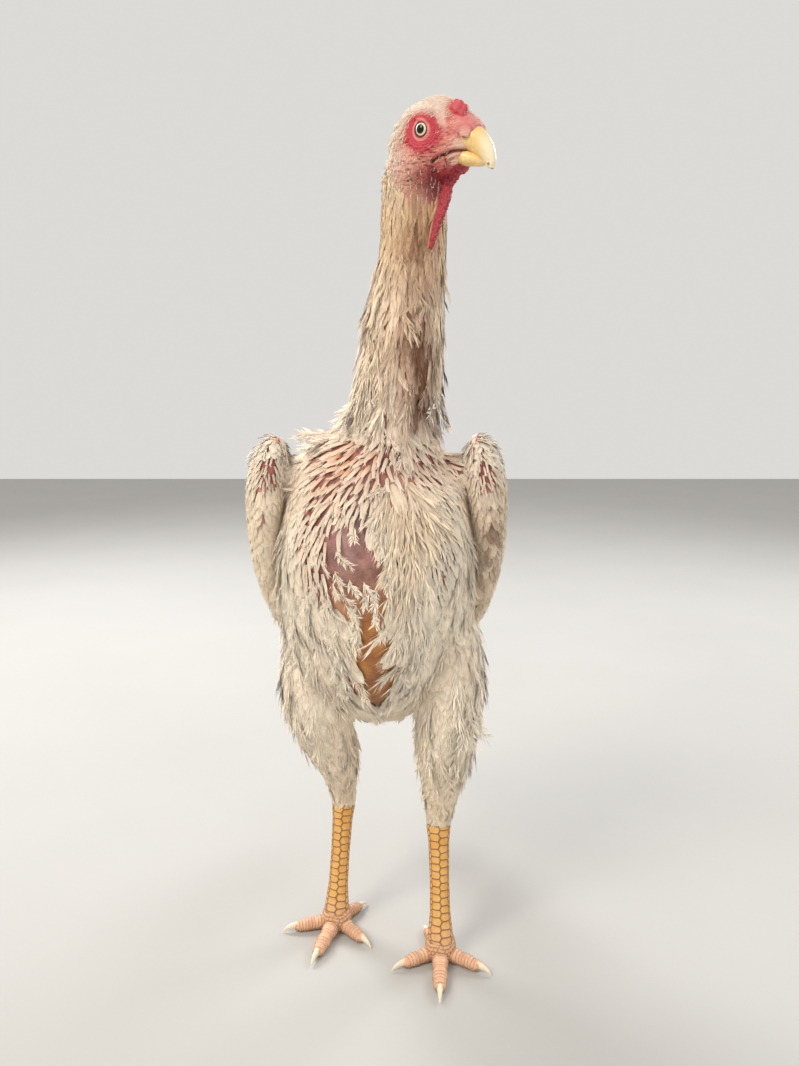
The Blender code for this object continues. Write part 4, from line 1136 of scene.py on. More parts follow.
def split_piece(name, points):
    """The name of the coat piece for each root."""
    pieces = np.array([f"coat_{n}" for n in name], dtype=object)
    torso = name == "torso"
    front = points[:, 1] < -0.02 + (0.42 - points[:, 2]) * 0.30
    pieces[torso & front & (points[:, 0] > 0)] = "coat_breast_left"
    pieces[torso & front & (points[:, 0] <= 0)] = "coat_breast_right"
    pieces[torso & ~front] = "coat_back"
    neck = name == "neck"
    pieces[neck & (points[:, 2] > 0.55)] = "coat_neck_upper"
    pieces[neck & (points[:, 2] <= 0.55)] = "coat_neck_lower"
    return pieces


def feather_turns(roots):
    """How the lie bends where quills fan out from the neck and feathers curl in to the keel."""
    turn = np.zeros_like(roots)
    away = roots[:, [0, 2]] - np.array(FAN_SOURCE)
    away = unit(away * np.array((1.7, 0.8)) - np.array((0, 0.012)))
    fans = 3.0 * np.clip(blob(roots, FAN_RIGHT) + blob(roots, FAN_LEFT), 0, 1)
    turn[:, 0] += away[:, 0] * fans
    turn[:, 2] += away[:, 1] * fans
    turn[:, 0] += 1.3 * (blob(roots, KEEL_FRAME_RIGHT) - blob(roots, KEEL_FRAME_LEFT))
    turn[:, 0] += 0.5 * blob(roots, PINS_RIGHT) * (roots[:, 2] < 0.38)
    turn[:, 0] -= 0.8 * blob(roots, THROAT_BASE) * np.sin(roots[:, 2] * 900)
    turn[:, 2] -= 0.9 * rise(roots[:, 2], 0.615, 0.635)
    return turn


def without_notches(roots, outward):
    """Leaves out roots under the head where the skin faces the floor: feathers would stick out there."""
    sound = (outward[:, 2] > -0.40) | (roots[:, 2] < HEAD_FOOT)
    return roots[sound], outward[sound]


KINDS = ("vane", "hackle", "fluff", "curl", "quill", "stray")
WING_TOP = 0.452
NAPE = 0.605


def choose_kinds(roots, name, wing, luck):
    """The kind of feather at each root, by its limb, the patch it is in and a number from 0 to 1."""
    bare, pins = bare_map(roots), pin_map(roots)
    neck, wing_top = name == "neck", wing & (roots[:, 2] > WING_TOP)
    curled = np.clip(
        blob(roots, TUFT_BAND) + blob(roots, KEEL_FRAME_RIGHT) + blob(roots, KEEL_FRAME_LEFT)
        + blob(roots, THROAT_BASE) + 0.6 * blob(roots, LILAC_BREAST), 0, 1,
    )
    kinds = np.full(len(roots), "vane", dtype=object)
    kinds[neck] = "hackle"
    kinds[luck < 0.16] = "fluff"
    kinds[neck & (luck < 0.10 + 0.75 * blob(roots, NECK_TUFT))] = "fluff"
    kinds[roots[:, 2] > NAPE] = "hackle"
    kinds[luck < 2.0 * blob(roots, DOWN_COLUMN)] = "fluff"
    kinds[(wing | (name == "tail")) & (luck < 0.16)] = "vane"
    kinds[wing_top] = "vane"
    kinds[wing_top & (luck < 0.35)] = "fluff"
    kinds[(luck > 0.45) & (curled > 0.35)] = "curl"
    kinds[(pins > 0.25 + 0.5 * luck) & (bare < 0.7) & ~wing_top] = "quill"
    kinds[bare > 0.70] = "curl"
    kinds[(blob(roots, TUFT_BAND) > 0.50) & (luck > 0.15)] = "curl"
    for place in STRAY_TUFTS:
        away = np.linalg.norm(roots - np.array(place), axis=1)
        nearest = np.argsort(away)[:STRAYS_EACH]
        kinds[nearest[away[nearest] < STRAY_REACH]] = "stray"
    return kinds


def feather_form(kind, sizes, turn, height, wing):
    """Sizes, stance, barbs and shading of feathers of one kind, from their sizes as full vanes."""
    # Each kind's darkening towards the root is painted shade under the feathers that lie over it
    form = dict(
        sizes, turn=turn, stand=0.02, bend=0.06, curl=0.01, ridge=0.0002, cup=0.02, profile=ROUND_TIP,
        barbs=VANE_BARBS, colour={}, fade=0.12,
    )
    if kind == "hackle":
        form.update(stand=0.03 * rise(height, 0.600, 0.560), bend=0.10, curl=0.0, profile=POINTED_TIP)
    elif kind == "fluff":
        form.update(
            width=form["width"] * 0.18, stand=0.10, bend=0.16, curl=0.08, barbs=FLUFF_BARBS,
            profile=POINTED_TIP, fade=0.10,
        )
    elif kind == "curl":
        form.update(
            length=form["length"] * 0.48, width=form["width"] * 0.10, stand=0.26, bend=0.40, curl=0.16,
            barbs=CURL_BARBS, profile=POINTED_TIP, colour={"buff": 0.4, "soil_and_shade": 0.3}, fade=0.05,
        )
    elif kind == "quill":
        share = 1 - 0.45 * wing
        form.update(
            length=0.0125 * share, width=0.0030 * share, ridge=0.0019, stand=0.20, lift=0.0018, bend=0.10,
            curl=0.03, cup=0.0, barbs=QUILL_BARBS, profile=SHEATH, colour={"buff": 0.4, "soil_and_shade": 0.2},
            fade=0.25,
        )
    elif kind == "stray":
        form.update(
            length=0.021, width=0.0011, stand=0.80, bend=0.35, curl=0.10, barbs=CURL_BARBS,
            profile=POINTED_TIP, colour={"buff": 0.3, "soil_and_shade": 0.0}, fade=0.05,
        )
    return form


def cover(coat, skin, keep, rng):
    """Feathers over one skin, wherever keep allows."""
    points, faces, normals = skin
    tree = BVHTree.FromPolygons(points.tolist(), faces.tolist())

    def spacing(places):
        return np.where(keep(places), coat_spacing(places), 0)

    roots, outward = without_notches(*scatter(points, faces, normals, spacing, rng))
    _, limb, along, _ = lie_of(roots)
    sizes, turns = coat_forms(limb, along), feather_turns(roots)
    name = np.array(LIMB_NAMES)[limb]
    wing = np.char.startswith(name.astype(str), "wing")
    pieces = split_piece(name, roots)
    kinds = choose_kinds(roots, name, wing, rng.random(len(roots)))
    for kind in KINDS:
        for piece in sorted(set(pieces)):
            pick = (pieces == piece) & (kinds == kind)
            picked = {key: value[pick] for key, value in sizes.items()}
            form = feather_form(kind, picked, turns[pick], roots[pick][:, 2], wing[pick])
            add_feathers(coat, piece, tree, roots[pick], outward[pick], form, rng)


# Head


def head_coordinates(points):
    """Points of the plan in head coordinates: forward, to the left, up."""
    back = np.array(HEAD.inverted())
    return points @ back[:3, :3].T + back[:3, 3]


def comb_share(local):
    """1 on the comb, 0 away from it."""
    share = np.zeros(len(local))
    for x, y, z, radius in COMB_BULBS:
        away = np.linalg.norm(local - np.array((x, y, z)), axis=1)
        share = np.maximum(share, rise(away, radius + 0.0016, radius + 0.0003))
    return share


DEWLAP_FRONT = (HEAD.to_3x3() @ Vector((1, 0, 0)) + FRONT).normalized()


def dewlap_rows():
    """The red fold, from under the bill down the front of the throat."""
    chin = HEAD @ Vector((0.027, 0.0, -0.0195))
    throat = HEAD @ Vector((0.0155, 0.0, -0.0320))
    return [
        (*chin, 0.0036, 0.0046, 0.0060, 2.0),
        (*throat, 0.0038, 0.0070, 0.0120, 2.0),
        (0.0505, -0.0560, 0.634, 0.0034, 0.0065, 0.0120, 2.0),
        (0.0455, -0.0595, 0.618, 0.0028, 0.0048, 0.0100, 2.0),
        (0.0410, -0.0595, 0.600, 0.0014, 0.0018, 0.0060, 2.0),
    ]


def dewlap_share(points):
    """1 on the red fold of the throat, 0 away from it."""
    line = np.array(spline_rows(dewlap_rows(), 40))[:, :3] + 0.0035 * np.array(DEWLAP_FRONT)
    away = np.linalg.norm(points[:, None] - line[None], axis=2).min(axis=1)
    return rise(away, 0.0078, 0.0054)


def neck_skin_rows():
    """The neck drawn in by the depth of its coat."""
    return spline_rows(inner(NECK_ROWS, 0.0100, 0.0065, 0.0055, 0.0045, 0.0020), 33)


def head_forms():
    """The overlapping closed forms that are fused into the skin of the head and upper neck."""
    shape = bumps(
        ((0.010, 0.0185, 0.0150), 0.0085, 0.0030),
        ((0.010, -0.0185, 0.0150), 0.0085, 0.0030),
        ((0.002, 0.0200, -0.0120), 0.0090, 0.0020),
        ((0.002, -0.0200, -0.0120), 0.0090, 0.0020),
        ((0.022, 0.0140, 0.0040), 0.0060, -0.0012),
        ((0.022, -0.0140, 0.0040), 0.0060, -0.0012),
        ((0.028, 0.0090, 0.0140), 0.0080, 0.0022),
    )
    forms = [loft(HEAD_ROWS, 60, 64, front=UP, bulge=shape, place=HEAD)]
    forms.append(loft(neck_skin_rows()[18:], 40, 64))
    forms.append(loft(dewlap_rows(), 40, 24, front=DEWLAP_FRONT))
    forms.append(ball(HEAD @ Matrix.Translation((0.0250, 0, -0.0160)), (0.0095, 0.0112, 0.0052)))
    for x, y, z, radius in COMB_BULBS:
        forms.append(ball(HEAD @ Matrix.Translation((x, y, z)), (radius, radius, radius)))
    forms.append(loft(CERE_ROWS, 30, 48, front=UP, place=HEAD))
    for side in SIDES:
        out = Vector((0.12, side, 0.05)).normalized()
        centre = mirrored(EYE_AT, side) + out * (EYE_RADIUS * 0.60)
        forms.append(torus(HEAD @ facing(centre, out), 0.0055, 0.0009))
        forms.append(torus(HEAD @ facing(centre - out * 0.0012, out), 0.0072, 0.0010))
        tilt = Matrix.Rotation(math.radians(12 * side), 4, "Z")
        brow = HEAD @ facing(centre + Vector((-0.0005, 0, 0.0064)), out) @ tilt
        forms.append(ball(brow, (0.0078, 0.0017, 0.0022)))
        flap = HEAD @ facing(mirrored(NOSTRIL_AT, side), Vector((0.3, side, 0.3)))
        forms.append(ball(flap, (0.0040, 0.0044, 0.0012)))
        gape = HEAD @ facing(Vector((0.0190, side * 0.0148, -0.0160)), Vector((0.0, side, -0.1)))
        forms.append(ball(gape, (0.0050, 0.0070, 0.0018)))
        lobe = HEAD @ facing(mirrored(EAR_AT, side), Vector((-0.15, side, -0.05)))
        forms.append(ball(lobe, (0.0040, 0.0055, 0.0020)))
    return forms


def mouth_away(local):
    """Distance, seen from the side, to the line of the mouth from the bill back to the gape."""
    line = np.array(spline_rows(MOUTH_LINE, 60))
    away = np.linalg.norm(local[:, None, ::2] - line[None], axis=2).min(axis=1)
    return away + 0.02 * (np.abs(local[:, 1]) < 0.004)


# Where the horn of the bill fades into the skin
UPPER_GAPE = ((0.0335, 0.0110, -0.0056), (0.0055, 0.0080, 0.0034))
LOWER_GAPE = ((0.0290, 0.0100, -0.0150), (0.0040, 0.0070, 0.0034))


def make_head_skin():
    """The skin of head and upper neck: relief pushed along its normals, then its markings and painted shade
    in its grooves and creases.
    """
    points, faces, normals = fuse(head_forms(), HEAD_VOXEL, 4)
    local = head_coordinates(points)
    forward, lateral, up = local.T
    eye = np.hypot(forward - EYE_AT.x, up - EYE_AT.z)
    beside = rise(np.abs(lateral), 0.006, 0.012)
    comb = comb_share(local)
    dewlap = dewlap_share(points)
    on_head = rise(points[:, 2], 0.632, 0.650) * rise(up, -0.050, -0.032)
    rings = beside * rise(eye, 0.0076, 0.0090) * rise(eye, 0.0170, 0.0105)
    push = 0.00030 * rings * np.cos(2 * math.pi * eye / 0.0019 + cloud(local, 200.0))
    ripple = cloud(local * np.array((0.45, 1.0, 1.9)), 330.0, 3)
    crease = cloud(local * np.array((0.7, 1.0, 1.7)) + 3.0, 170.0, 2)
    folds = beside * on_head * rise(eye, 0.0095, 0.014) * (1 - comb) * rise(forward, 0.036, 0.026)
    valley = 1 - 2 * np.abs(ripple)
    push += folds * (0.00095 * valley * rise(up, 0.012, -0.004) + 0.00085 * crease)
    pebbles = np.array([noise.voronoi(Vector(p) * 560.0)[0][0] for p in local])
    red = np.maximum(0.15 * comb, dewlap)
    push += red * 0.0021 * (0.42 - pebbles)
    mouth = mouth_away(local)
    push -= 0.0014 * rise(mouth, 0.0019, 0.0005) * on_head
    push += 0.0008 * beside * on_head * rise(np.abs(mouth - 0.0026), 0.0012, 0.0)
    slit = up + 0.0018 + 0.30 * (forward - 0.0380)
    nostril = np.hypot((forward - 0.0380) / 2.6, slit) + 0.02 * (np.abs(lateral) < 0.004)
    push -= 0.0007 * rise(nostril, 0.0016, 0.0005)
    points = points + normals * push[:, None]
    values = skin_values(points)
    face = on_head * rise(forward, -0.022, -0.004)
    crown = rise(up, 0.0125, 0.0185) * rise(forward, 0.022, 0.014)
    stripe = rise(np.abs(forward - 0.0195 + 0.3 * (up - 0.012)), 0.0040, 0.0015) * rise(up, 0.002, 0.010)
    socket = rise(eye, 0.0185, 0.0110) * beside
    chin = rise(-up, 0.016, 0.026) * rise(forward, -0.006, 0.008)
    cheek = rise(-up, 0.004, 0.012) * rise(forward, 0.012, -0.002) * (1 - socket)
    cere = rise(forward, 0.026, 0.034) * rise(up, -0.008, -0.002)
    flap = rise(np.linalg.norm(np.abs(local) - np.array(NOSTRIL_AT), axis=1), 0.0048, 0.0030)
    seen = local * np.where(lateral[:, None] < 0, (1, -1, 1), 1)
    rim = rise(np.abs(np.linalg.norm(seen - np.array(NOSTRIL_AT), axis=1) - 0.0054), 0.0010, 0.0003)
    gape = np.clip(blob(seen, UPPER_GAPE) + blob(seen, LOWER_GAPE), 0, 1)
    far = rise(lateral, 0.0005, 0.0050) * rise(up, 0.004, 0.010) * rise(forward, 0.041, 0.035)
    crown = np.maximum(crown, far * on_head)
    throat, throat_dark = blob(points, THROAT_SKIN), blob(points, THROAT_DARK)
    values["flush"] = np.clip(
        face * (
            0.60 + 0.75 * socket + 0.18 * cere - 0.85 * crown - 0.50 * stripe - 0.36 * cheek + 0.50 * chin
            - 0.30 * flap + 0.5 * rim - 0.9 * gape - 0.5 * throat_dark
            + 0.22 * ripple - 0.18 * valley + 0.12 * crease
        ), 0, 1,
    )
    creased = 0.30 * cheek * on_head * (ripple > 0)
    values["rust"] = np.clip(values["rust"] + 0.75 * on_head * chin + creased, 0, 1)
    values["tan"] = np.clip(values["tan"] + 0.90 * gape + 0.22 * flap + 0.5 * throat_dark, 0, 1)
    values["comb"] = np.clip(0.75 * comb + dewlap + 0.65 * throat, 0, 1)
    lid = beside * rise(np.abs(eye - 0.0064), 0.0013, 0.0004)
    values["pale"] = np.clip(
        0.35 * lid + 0.85 * crown * on_head + 0.50 * stripe * on_head * beside + 0.10 * flap + 0.62 * gape
        + 0.30 * cheek * on_head * rise(valley, 0.2, 0.9) + 0.20 * cere * (1 - comb), 0, 1,
    )
    # Dark: the throat, a darker dewlap and a line round each eye, and painted shade in the mouth groove, the
    # nostril, the troughs of the eye rings, the creases of the folds and the hollows between the dewlap's
    # pebbles
    values["dark"] = np.clip(
        0.9 * rise(mouth, 0.0013, 0.0006) * on_head + 0.8 * rise(nostril, 0.0012, 0.0006)
        + 0.9 * beside * rise(eye, 0.0056, 0.0049)
        + 0.45 * throat * (1 - dewlap) + 0.35 * throat_dark * (1 - dewlap)
        + 0.30 * rings * rise(-np.cos(2 * math.pi * eye / 0.0019), 0.3, 1.0)
        + 0.32 * folds * rise(valley, 0.1, -0.6)
        + 0.24 * dewlap + 0.30 * dewlap * rise(pebbles, 0.45, 0.65), 0, 1,
    )
    return points, faces, values


def make_eyes(finish):
    """Eyeballs whose clear front stands out a little."""
    for side, name in SIDES.items():
        out = Vector((0.12, side, 0.05)).normalized()
        place = HEAD @ facing(mirrored(EYE_AT, side), out)
        points, faces = ball(Matrix.Identity(4), (1, 1, 1), 72, 48)
        angle = np.arccos(np.clip(points[:, 2], -1, 1))
        radius = EYE_RADIUS * (1 + 0.035 * np.exp(-((angle / 0.5) ** 2)))
        solid = points * radius[:, None]
        placed = np.array([place @ Vector(p) for p in solid])
        obj = add_piece(f"eyeball_{name}", placed, faces, finish, values={"gaze": angle})
        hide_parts(f"eye_{name}")


def make_bill(finish):
    """The two halves of the bill, faintly grained."""
    upper_rows = [
        (0.0240, 0, 0.0040, 0.0105, 0.0105, 0.0105, 2.2),
        (0.0320, 0, 0.0012, 0.0102, 0.0103, 0.0098, 2.2),
        (0.0400, 0, -0.0026, 0.0090, 0.0088, 0.0082, 2.2),
        (0.0458, 0, -0.0062, 0.0071, 0.0073, 0.0078, 2.1),
        (0.0506, 0, -0.0108, 0.0052, 0.0056, 0.0068, 2.1),
        (0.0534, 0, -0.0156, 0.0035, 0.0038, 0.0054, 2.0),
        (0.0544, 0, -0.0198, 0.0019, 0.0021, 0.0030, 2.0),
        (0.0545, 0, -0.0214, 0.0007, 0.0008, 0.0010, 2.0),
    ]
    lower_rows = [
        (0.0230, 0, -0.0120, 0.0080, 0.0040, 0.0062, 2.5),
        (0.0320, 0, -0.0134, 0.0088, 0.0050, 0.0056, 2.5),
        (0.0390, 0, -0.0148, 0.0074, 0.0050, 0.0048, 2.3),
        (0.0436, 0, -0.0160, 0.0054, 0.0044, 0.0038, 2.1),
        (0.0468, 0, -0.0172, 0.0032, 0.0030, 0.0026, 2.0),
        (0.0484, 0, -0.0180, 0.0010, 0.0010, 0.0010, 2.0),
    ]
    for name, rows in (("upper", upper_rows), ("lower", lower_rows)):
        points, faces = loft(rows, 70, 64, front=UP, place=HEAD)
        local = head_coordinates(points)
        normals = normals_of(points, faces)
        points = points + normals * (0.00016 * cloud(local * np.array((0.5, 1.5, 1.5)), 320.0)[:, None])
        tip = rise(local[:, 0], 0.044, 0.054)
        spot = rise(np.linalg.norm(local - np.array((0.0532, -0.0026, -0.0180)), axis=1), 0.0014, 0.0007)
        root = rise(local[:, 0], 0.035, 0.031) * 0.35
        values = {"tip": tip, "stain": np.clip(spot * 0.8 + root, 0, 1)}
        obj = add_piece(f"bill_{name}_horn", points, faces, finish, values=values)
        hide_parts(f"bill_{name}")


# Legs


def hex_seam(a, b, size_a, size_b):
    """Distance from the seams of a brick lattice of rounded plates, in shares of a plate: 0 on a seam."""
    row = np.floor(b / size_b)
    shifted = a / size_a + 0.5 * (row % 2)
    u = np.abs(shifted - np.floor(shifted) - 0.5) * 2
    v = np.abs(b / size_b - row - 0.5) * 2
    return 1 - np.maximum(u, v) - 0.25 * u * v


def scaled(points, faces, seam, height):
    """Raises plates between seams and gives the darkness of the seams."""
    plate = rise(seam, 0.05, 0.30)
    raised = points + normals_of(points, faces) * (height * (plate - 0.5))[:, None]
    return raised, 1 - rise(seam, 0.04, 0.24)


# Columns of plates round half the shank: distance from its front line and height of a plate
SCUTE_COLUMNS = (
    (0.0044, 0.0066), (0.0116, 0.0050), (0.0158, 0.0042),
    (0.0198, 0.0040), (0.0238, 0.0040), (0.0278, 0.0040),
)
SCUTE_EDGE = 0.0032


def scute_seams(across, run, rng):
    """Distance from each point of the unrolled shank to the nearest seam between its six-sided plates."""
    centres = []
    for at, height in SCUTE_COLUMNS:
        for side in SIDES:
            rows = (np.arange(-6, 0.14 / height) + 0.25 * side) * height
            jitter = rng.normal(0, 0.00030, (2, len(rows)))
            centres.append(np.stack([side * at + jitter[0], rows + jitter[1]], axis=1))
    centres = np.concatenate(centres)
    place = np.stack([across, run], axis=1)
    away = ((place[:, None] - centres[None]) ** 2).sum(axis=2)
    near = np.argsort(away, axis=1)[:, :2]
    first, second = (np.take_along_axis(away, near[:, k:k + 1], 1)[:, 0] for k in range(2))
    apart = np.linalg.norm(centres[near[:, 0]] - centres[near[:, 1]], axis=1)
    return (second - first) / (2 * apart)


def make_shank(side, rng):
    """A scaly shank from the hock to the ankle."""
    hock, foot = HOCK_AT[side], FOOT_AT[side]
    ankle = foot + Vector((0, 0, PAD_HEIGHT))
    rings, sides = 240, 100
    rows = []
    for k in range(rings):
        t = -0.10 + 1.14 * k / (rings - 1)
        half = read_table(SHANK_HALF, t)
        rows.append((*hock.lerp(ankle, t), half, half * 1.18, half * 1.18, 2.2))
    points, faces = loft(rows, rings, sides)
    axis = np.array(ankle - hock)
    t = (points - np.array(hock)) @ axis / (axis @ axis)
    centre = np.array(hock) + axis * t[:, None]
    angle = np.arctan2(points[:, 0] - centre[:, 0], centre[:, 1] - points[:, 1])
    seam = scute_seams(angle * SHANK_HALF[3][1] * 1.1, t * np.linalg.norm(axis), rng) / SCUTE_EDGE
    points, dark = scaled(points, faces, seam, 0.0010)
    toe = rise(t, 0.80, 1.05) * 0.5
    return points, faces, {"seam": np.clip(dark, 0, 1) * 0.9, "toe": toe}


def toe_direction(side, angle):
    """The level direction of a toe."""
    heading = -math.pi / 2 + side * (math.radians(angle) - FOOT_YAW[side])
    return Vector((math.cos(heading), math.sin(heading), 0))


def make_toe(side, angle, length, size, hind):
    """A knuckled toe with bands over its top and small scales below."""
    along = toe_direction(side, angle)
    start = FOOT_AT[side] + along * TOE_START
    radius = TOE_RADIUS * size
    lift = 0.35 if hind else 0.0
    rings, sides = 90, 40
    rows = []
    for k in range(rings):
        t = k / (rings - 1)
        knuckle = 1 + 0.05 * math.cos(2 * math.pi * t * 3)
        share = read_table(TOE_PROFILE, t) * knuckle
        at = start + along * ((length - TOE_START) * t)
        height = radius * share * 0.92 + lift * radius * (1 - t)
        rows.append((at.x, at.y, height, radius * share, radius * share, height - 0.0002, 2.3))
    points, faces = loft(rows, rings, sides, front=UP)
    run = (points - np.array(start)) @ np.array(along)
    middle = radius * 0.92
    above = rise(points[:, 2], middle * 0.95, middle * 1.15)
    across = (points - np.array(start)) @ np.array(along.cross(UP))
    band = 1 - np.abs(run / 0.0029 - np.floor(run / 0.0029) - 0.5) * 2
    small = hex_seam(points[:, 2] + across * 0.3, run, 0.0022, 0.0022)
    seam = np.where(above > 0.5, band, small)
    low = points[:, 2] < 0.0012
    points, dark = scaled(points, faces, np.where(low, 1, seam), 0.0007)
    points[:, 2] = np.maximum(points[:, 2], 0.0)
    return points, faces, {"seam": np.clip(dark, 0, 1) * 0.55, "toe": np.ones(len(points))}


def make_pad(side):
    """The middle of a foot, flat underneath."""
    at = FOOT_AT[side]
    rows = [
        (at.x, at.y + 0.000, 0.0000, 0.0105, 0.0110, 0.0100, 2.2),
        (at.x, at.y + 0.000, 0.0040, 0.0128, 0.0138, 0.0123, 2.2),
        (at.x, at.y + 0.000, 0.0120, 0.0133, 0.0143, 0.0128, 2.2),
        (at.x, at.y + 0.001, 0.0185, 0.0116, 0.0123, 0.0120, 2.1),
        (at.x, at.y + 0.002, 0.0240, 0.0085, 0.0095, 0.0095, 2.0),
    ]
    points, faces = loft(rows, 60, 72)
    angle = np.arctan2(points[:, 0] - at.x, at.y - points[:, 1])
    seam = hex_seam(angle * 0.0135, points[:, 2] + 0.0008 * np.sin(angle * 5), 0.0034, 0.0032)
    low = points[:, 2] < 0.0012
    points, dark = scaled(points, faces, np.where(low, 1, seam), 0.0008)
    points[:, 2] = np.maximum(points[:, 2], 0.0)
    return points, faces, {"seam": dark * 0.6, "toe": np.full(len(points), 0.8)}


# Share of the claw's length, share of the toe's thickness, share of its height dropped
CLAW_ROWS = ((-0.35, 0.40, 0), (0, 0.50, 0), (0.45, 0.38, 0.12), (0.80, 0.22, 0.40), (1, 0.07, 0.72))


def make_claw(side, toe_name, angle, length, size, finish):
    """A claw that bends down from the end of its toe."""
    along = toe_direction(side, angle)
    radius = TOE_RADIUS * size
    tip = FOOT_AT[side] + along * length
    rows = []
    for t, share, drop in CLAW_ROWS:
        at = tip + along * (CLAW_LENGTH * size * t)
        reach = radius * share
        height = max(radius * (1.0 - drop), reach * 1.02)
        rows.append((at.x, at.y, height, reach * 0.8, reach, reach, 2.0))
    points, faces = loft(rows, 28, 24, front=UP)
    name = SIDES[side]
    obj = add_piece(f"talon_{name}_{toe_name}", points, faces, finish)
    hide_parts(f"claw_{name}_{toe_name}")


def make_feet(scales, horn, rng):
    """Shank, foot and toes of each leg as one piece, with its claws."""
    for side, name in SIDES.items():
        parts = [make_shank(side, rng), make_pad(side)]
        for toe_name, (angle, length, size) in TOES.items():
            parts.append(make_toe(side, angle, length, size, toe_name == "hind"))
            make_claw(side, toe_name, angle, length, size, horn)
        points, faces = joined([(p, f) for p, f, _ in parts])
        values = {key: np.concatenate([v[key] for _, _, v in parts]) for key in ("seam", "toe")}
        obj = add_piece(f"leg_scales_{name}", points, faces, scales, values=values)
        nodes = [f"shank_{name}", f"foot_{name}"] + [f"toe_{name}_{toe}" for toe in TOES]
        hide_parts(*nodes)


# Wings and tail

WING_TIERS = (
    dict(count=9, roots=(0.46, 0.54), tips=(0.84, 1.0), root_q=(0.70, -0.56), tip_q=(0.76, -0.52),
         width=0.0130, lift=-0.0052, step=-0.0003),
    dict(count=13, roots=(0.28, 0.32), tips=(0.70, 0.86), root_q=(0.66, -0.88), tip_q=(0.70, -0.82),
         width=0.0145, lift=-0.0026, step=0),
    dict(count=12, roots=(0.15, 0.16), tips=(0.49, 0.57), root_q=(0.64, -0.84), tip_q=(0.68, -0.82),
         width=0.0145, lift=-0.0022, step=0),
    dict(count=11, roots=(0.05, 0.05), tips=(0.29, 0.35), root_q=(0.60, -0.80), tip_q=(0.66, -0.80),
         width=0.0140, lift=-0.0018, step=0),
)
SKIN_DEPTH = 0.0030
VANE_TILT = math.radians(6)
LONG_NODES = 26
EDGE_THICK = 0.00012
LONG_WIDTHS = ((0.0, 0.30), (0.12, 0.62), (0.35, 0.92), (0.60, 1.0), (0.85, 0.86), (0.95, 0.62), (1.0, 0.15))


def mix(pair, t):
    """The value a share of the way from one number to another."""
    return pair[0] + (pair[1] - pair[0]) * t


def wing_surface(rows, side):
    """The point and outward normal on a wing's outer face, s along it and q from front to back."""
    samples = spline_rows(rows, 65)

    def place(s, q, lift):
        k = min(s, 0.999) * 64
        low = int(k)
        row = [mix(pair, k - low) for pair in zip(samples[low], samples[low + 1])]
        ahead = (Vector(samples[low + 1][:3]) - Vector(samples[low][:3])).normalized()
        face = (FRONT - ahead * FRONT.dot(ahead)).normalized()
        out = Vector((side, 0, 0))
        half, reach = row[3] - SKIN_DEPTH, row[4]
        level = math.sqrt(max(0.0, 1 - q * q))
        normal = (out * (level / max(half, 0.002)) + face * (q / reach)).normalized()
        point = Vector(row[:3]) + out * (half * level) + face * (q * reach) + normal * lift
        return point, normal

    return place


def long_feather(coat, piece, path, normals, width, tilt, rng, colours):
    """A flight or tail feather: a closed, ragged vane with a raised quill down its middle."""
    path, ups = np.array(path), np.array(normals)
    n = len(path)
    ahead = unit(np.gradient(path, axis=0))
    across = unit(np.cross(ahead, ups))
    up = np.cross(across, ahead)
    across, up = (
        across * math.cos(tilt) - up * math.sin(tilt),
        up * math.cos(tilt) + across * math.sin(tilt),
    )
    t = np.linspace(0, 1, n)
    half = read_table(LONG_WIDTHS, t) * width / 2
    frayed = 0.22 * rise(t, 0.15, 0.6)
    ragged = [1 - np.abs(rng.normal(0, 1, n)) * frayed * (rng.random(n) < 0.35) for _ in range(2)]
    inner_half, outer_half = half * 1.12 * ragged[0], half * 0.88 * ragged[1]
    thick, quill = 0.00022, 0.00055 * (1.15 - t)
    left = path - across * inner_half[:, None] - up * (0.10 * half)[:, None]
    right = path + across * outer_half[:, None] - up * (0.10 * half)[:, None]
    rings = np.stack(
        [
            left,
            path - across * 0.0004 + up * thick,
            path + up * (thick + quill)[:, None],
            path + across * 0.0004 + up * thick,
            right,
            right - up * EDGE_THICK,
            path - up * thick,
            left - up * EDGE_THICK,
        ],
        axis=1,
    )
    sides = rings.shape[1]
    points = np.concatenate([rings.reshape(-1, 3), path[:1], path[-1:]])
    faces = tube_triangles(n, sides)[:, ::-1]
    _, limb, along, around = lie_of(path[:1])
    place = atlas_place(limb, along, around)
    x = np.append(np.tile([-1.0, -0.1, 0.0, 0.1, 1.0, 1.0, 0.0, -1.0], n), [0, 0])
    y = np.append(np.repeat(t, sides), [0, 1])
    shade, feather = np.full(1, 0.94 + 0.10 * rng.random()), rng.random(1)
    # The lowest third darkens towards the root: painted shade under the feathers lying over it
    values = feather_values(colours, x[None], y[None] * 3, feather, shade, 0.12)
    facing_up = np.array([1.0, 1.0, 1.0, 1.0, 1.0, -1.0, -1.0, -1.0])
    lay = np.concatenate([(up[:, None] * facing_up[None, :, None]).reshape(-1, 3), up[:1], up[-1:]])
    coat.add(piece, points, faces, patch_uv(place, x[None], y[None]), values, lay)
    pick = np.interp(PLATE_T, t, np.arange(n)).round().astype(int)
    frames = tuple(direction[None, pick] for direction in (ahead, across, up))
    barbs = dict(VANE_BARBS, count=40, start=0.45, reach=0.13, spread=0.22)
    spikes, spike_x, spike_y, spike_lay = build_barbs(
        path[None, pick], frames, np.array([width]), np.array([0.05]), ROUND_TIP, barbs, rng
    )
    coat.add(
        piece, spikes.reshape(-1, 3),
        np.concatenate([BARB_TRIANGLES + 4 * b for b in range(barbs["count"])]),
        patch_uv(place, spike_x, spike_y), feather_values(colours, spike_x, spike_y, feather, shade, 0.0),
        spike_lay.reshape(-1, 3),
    )


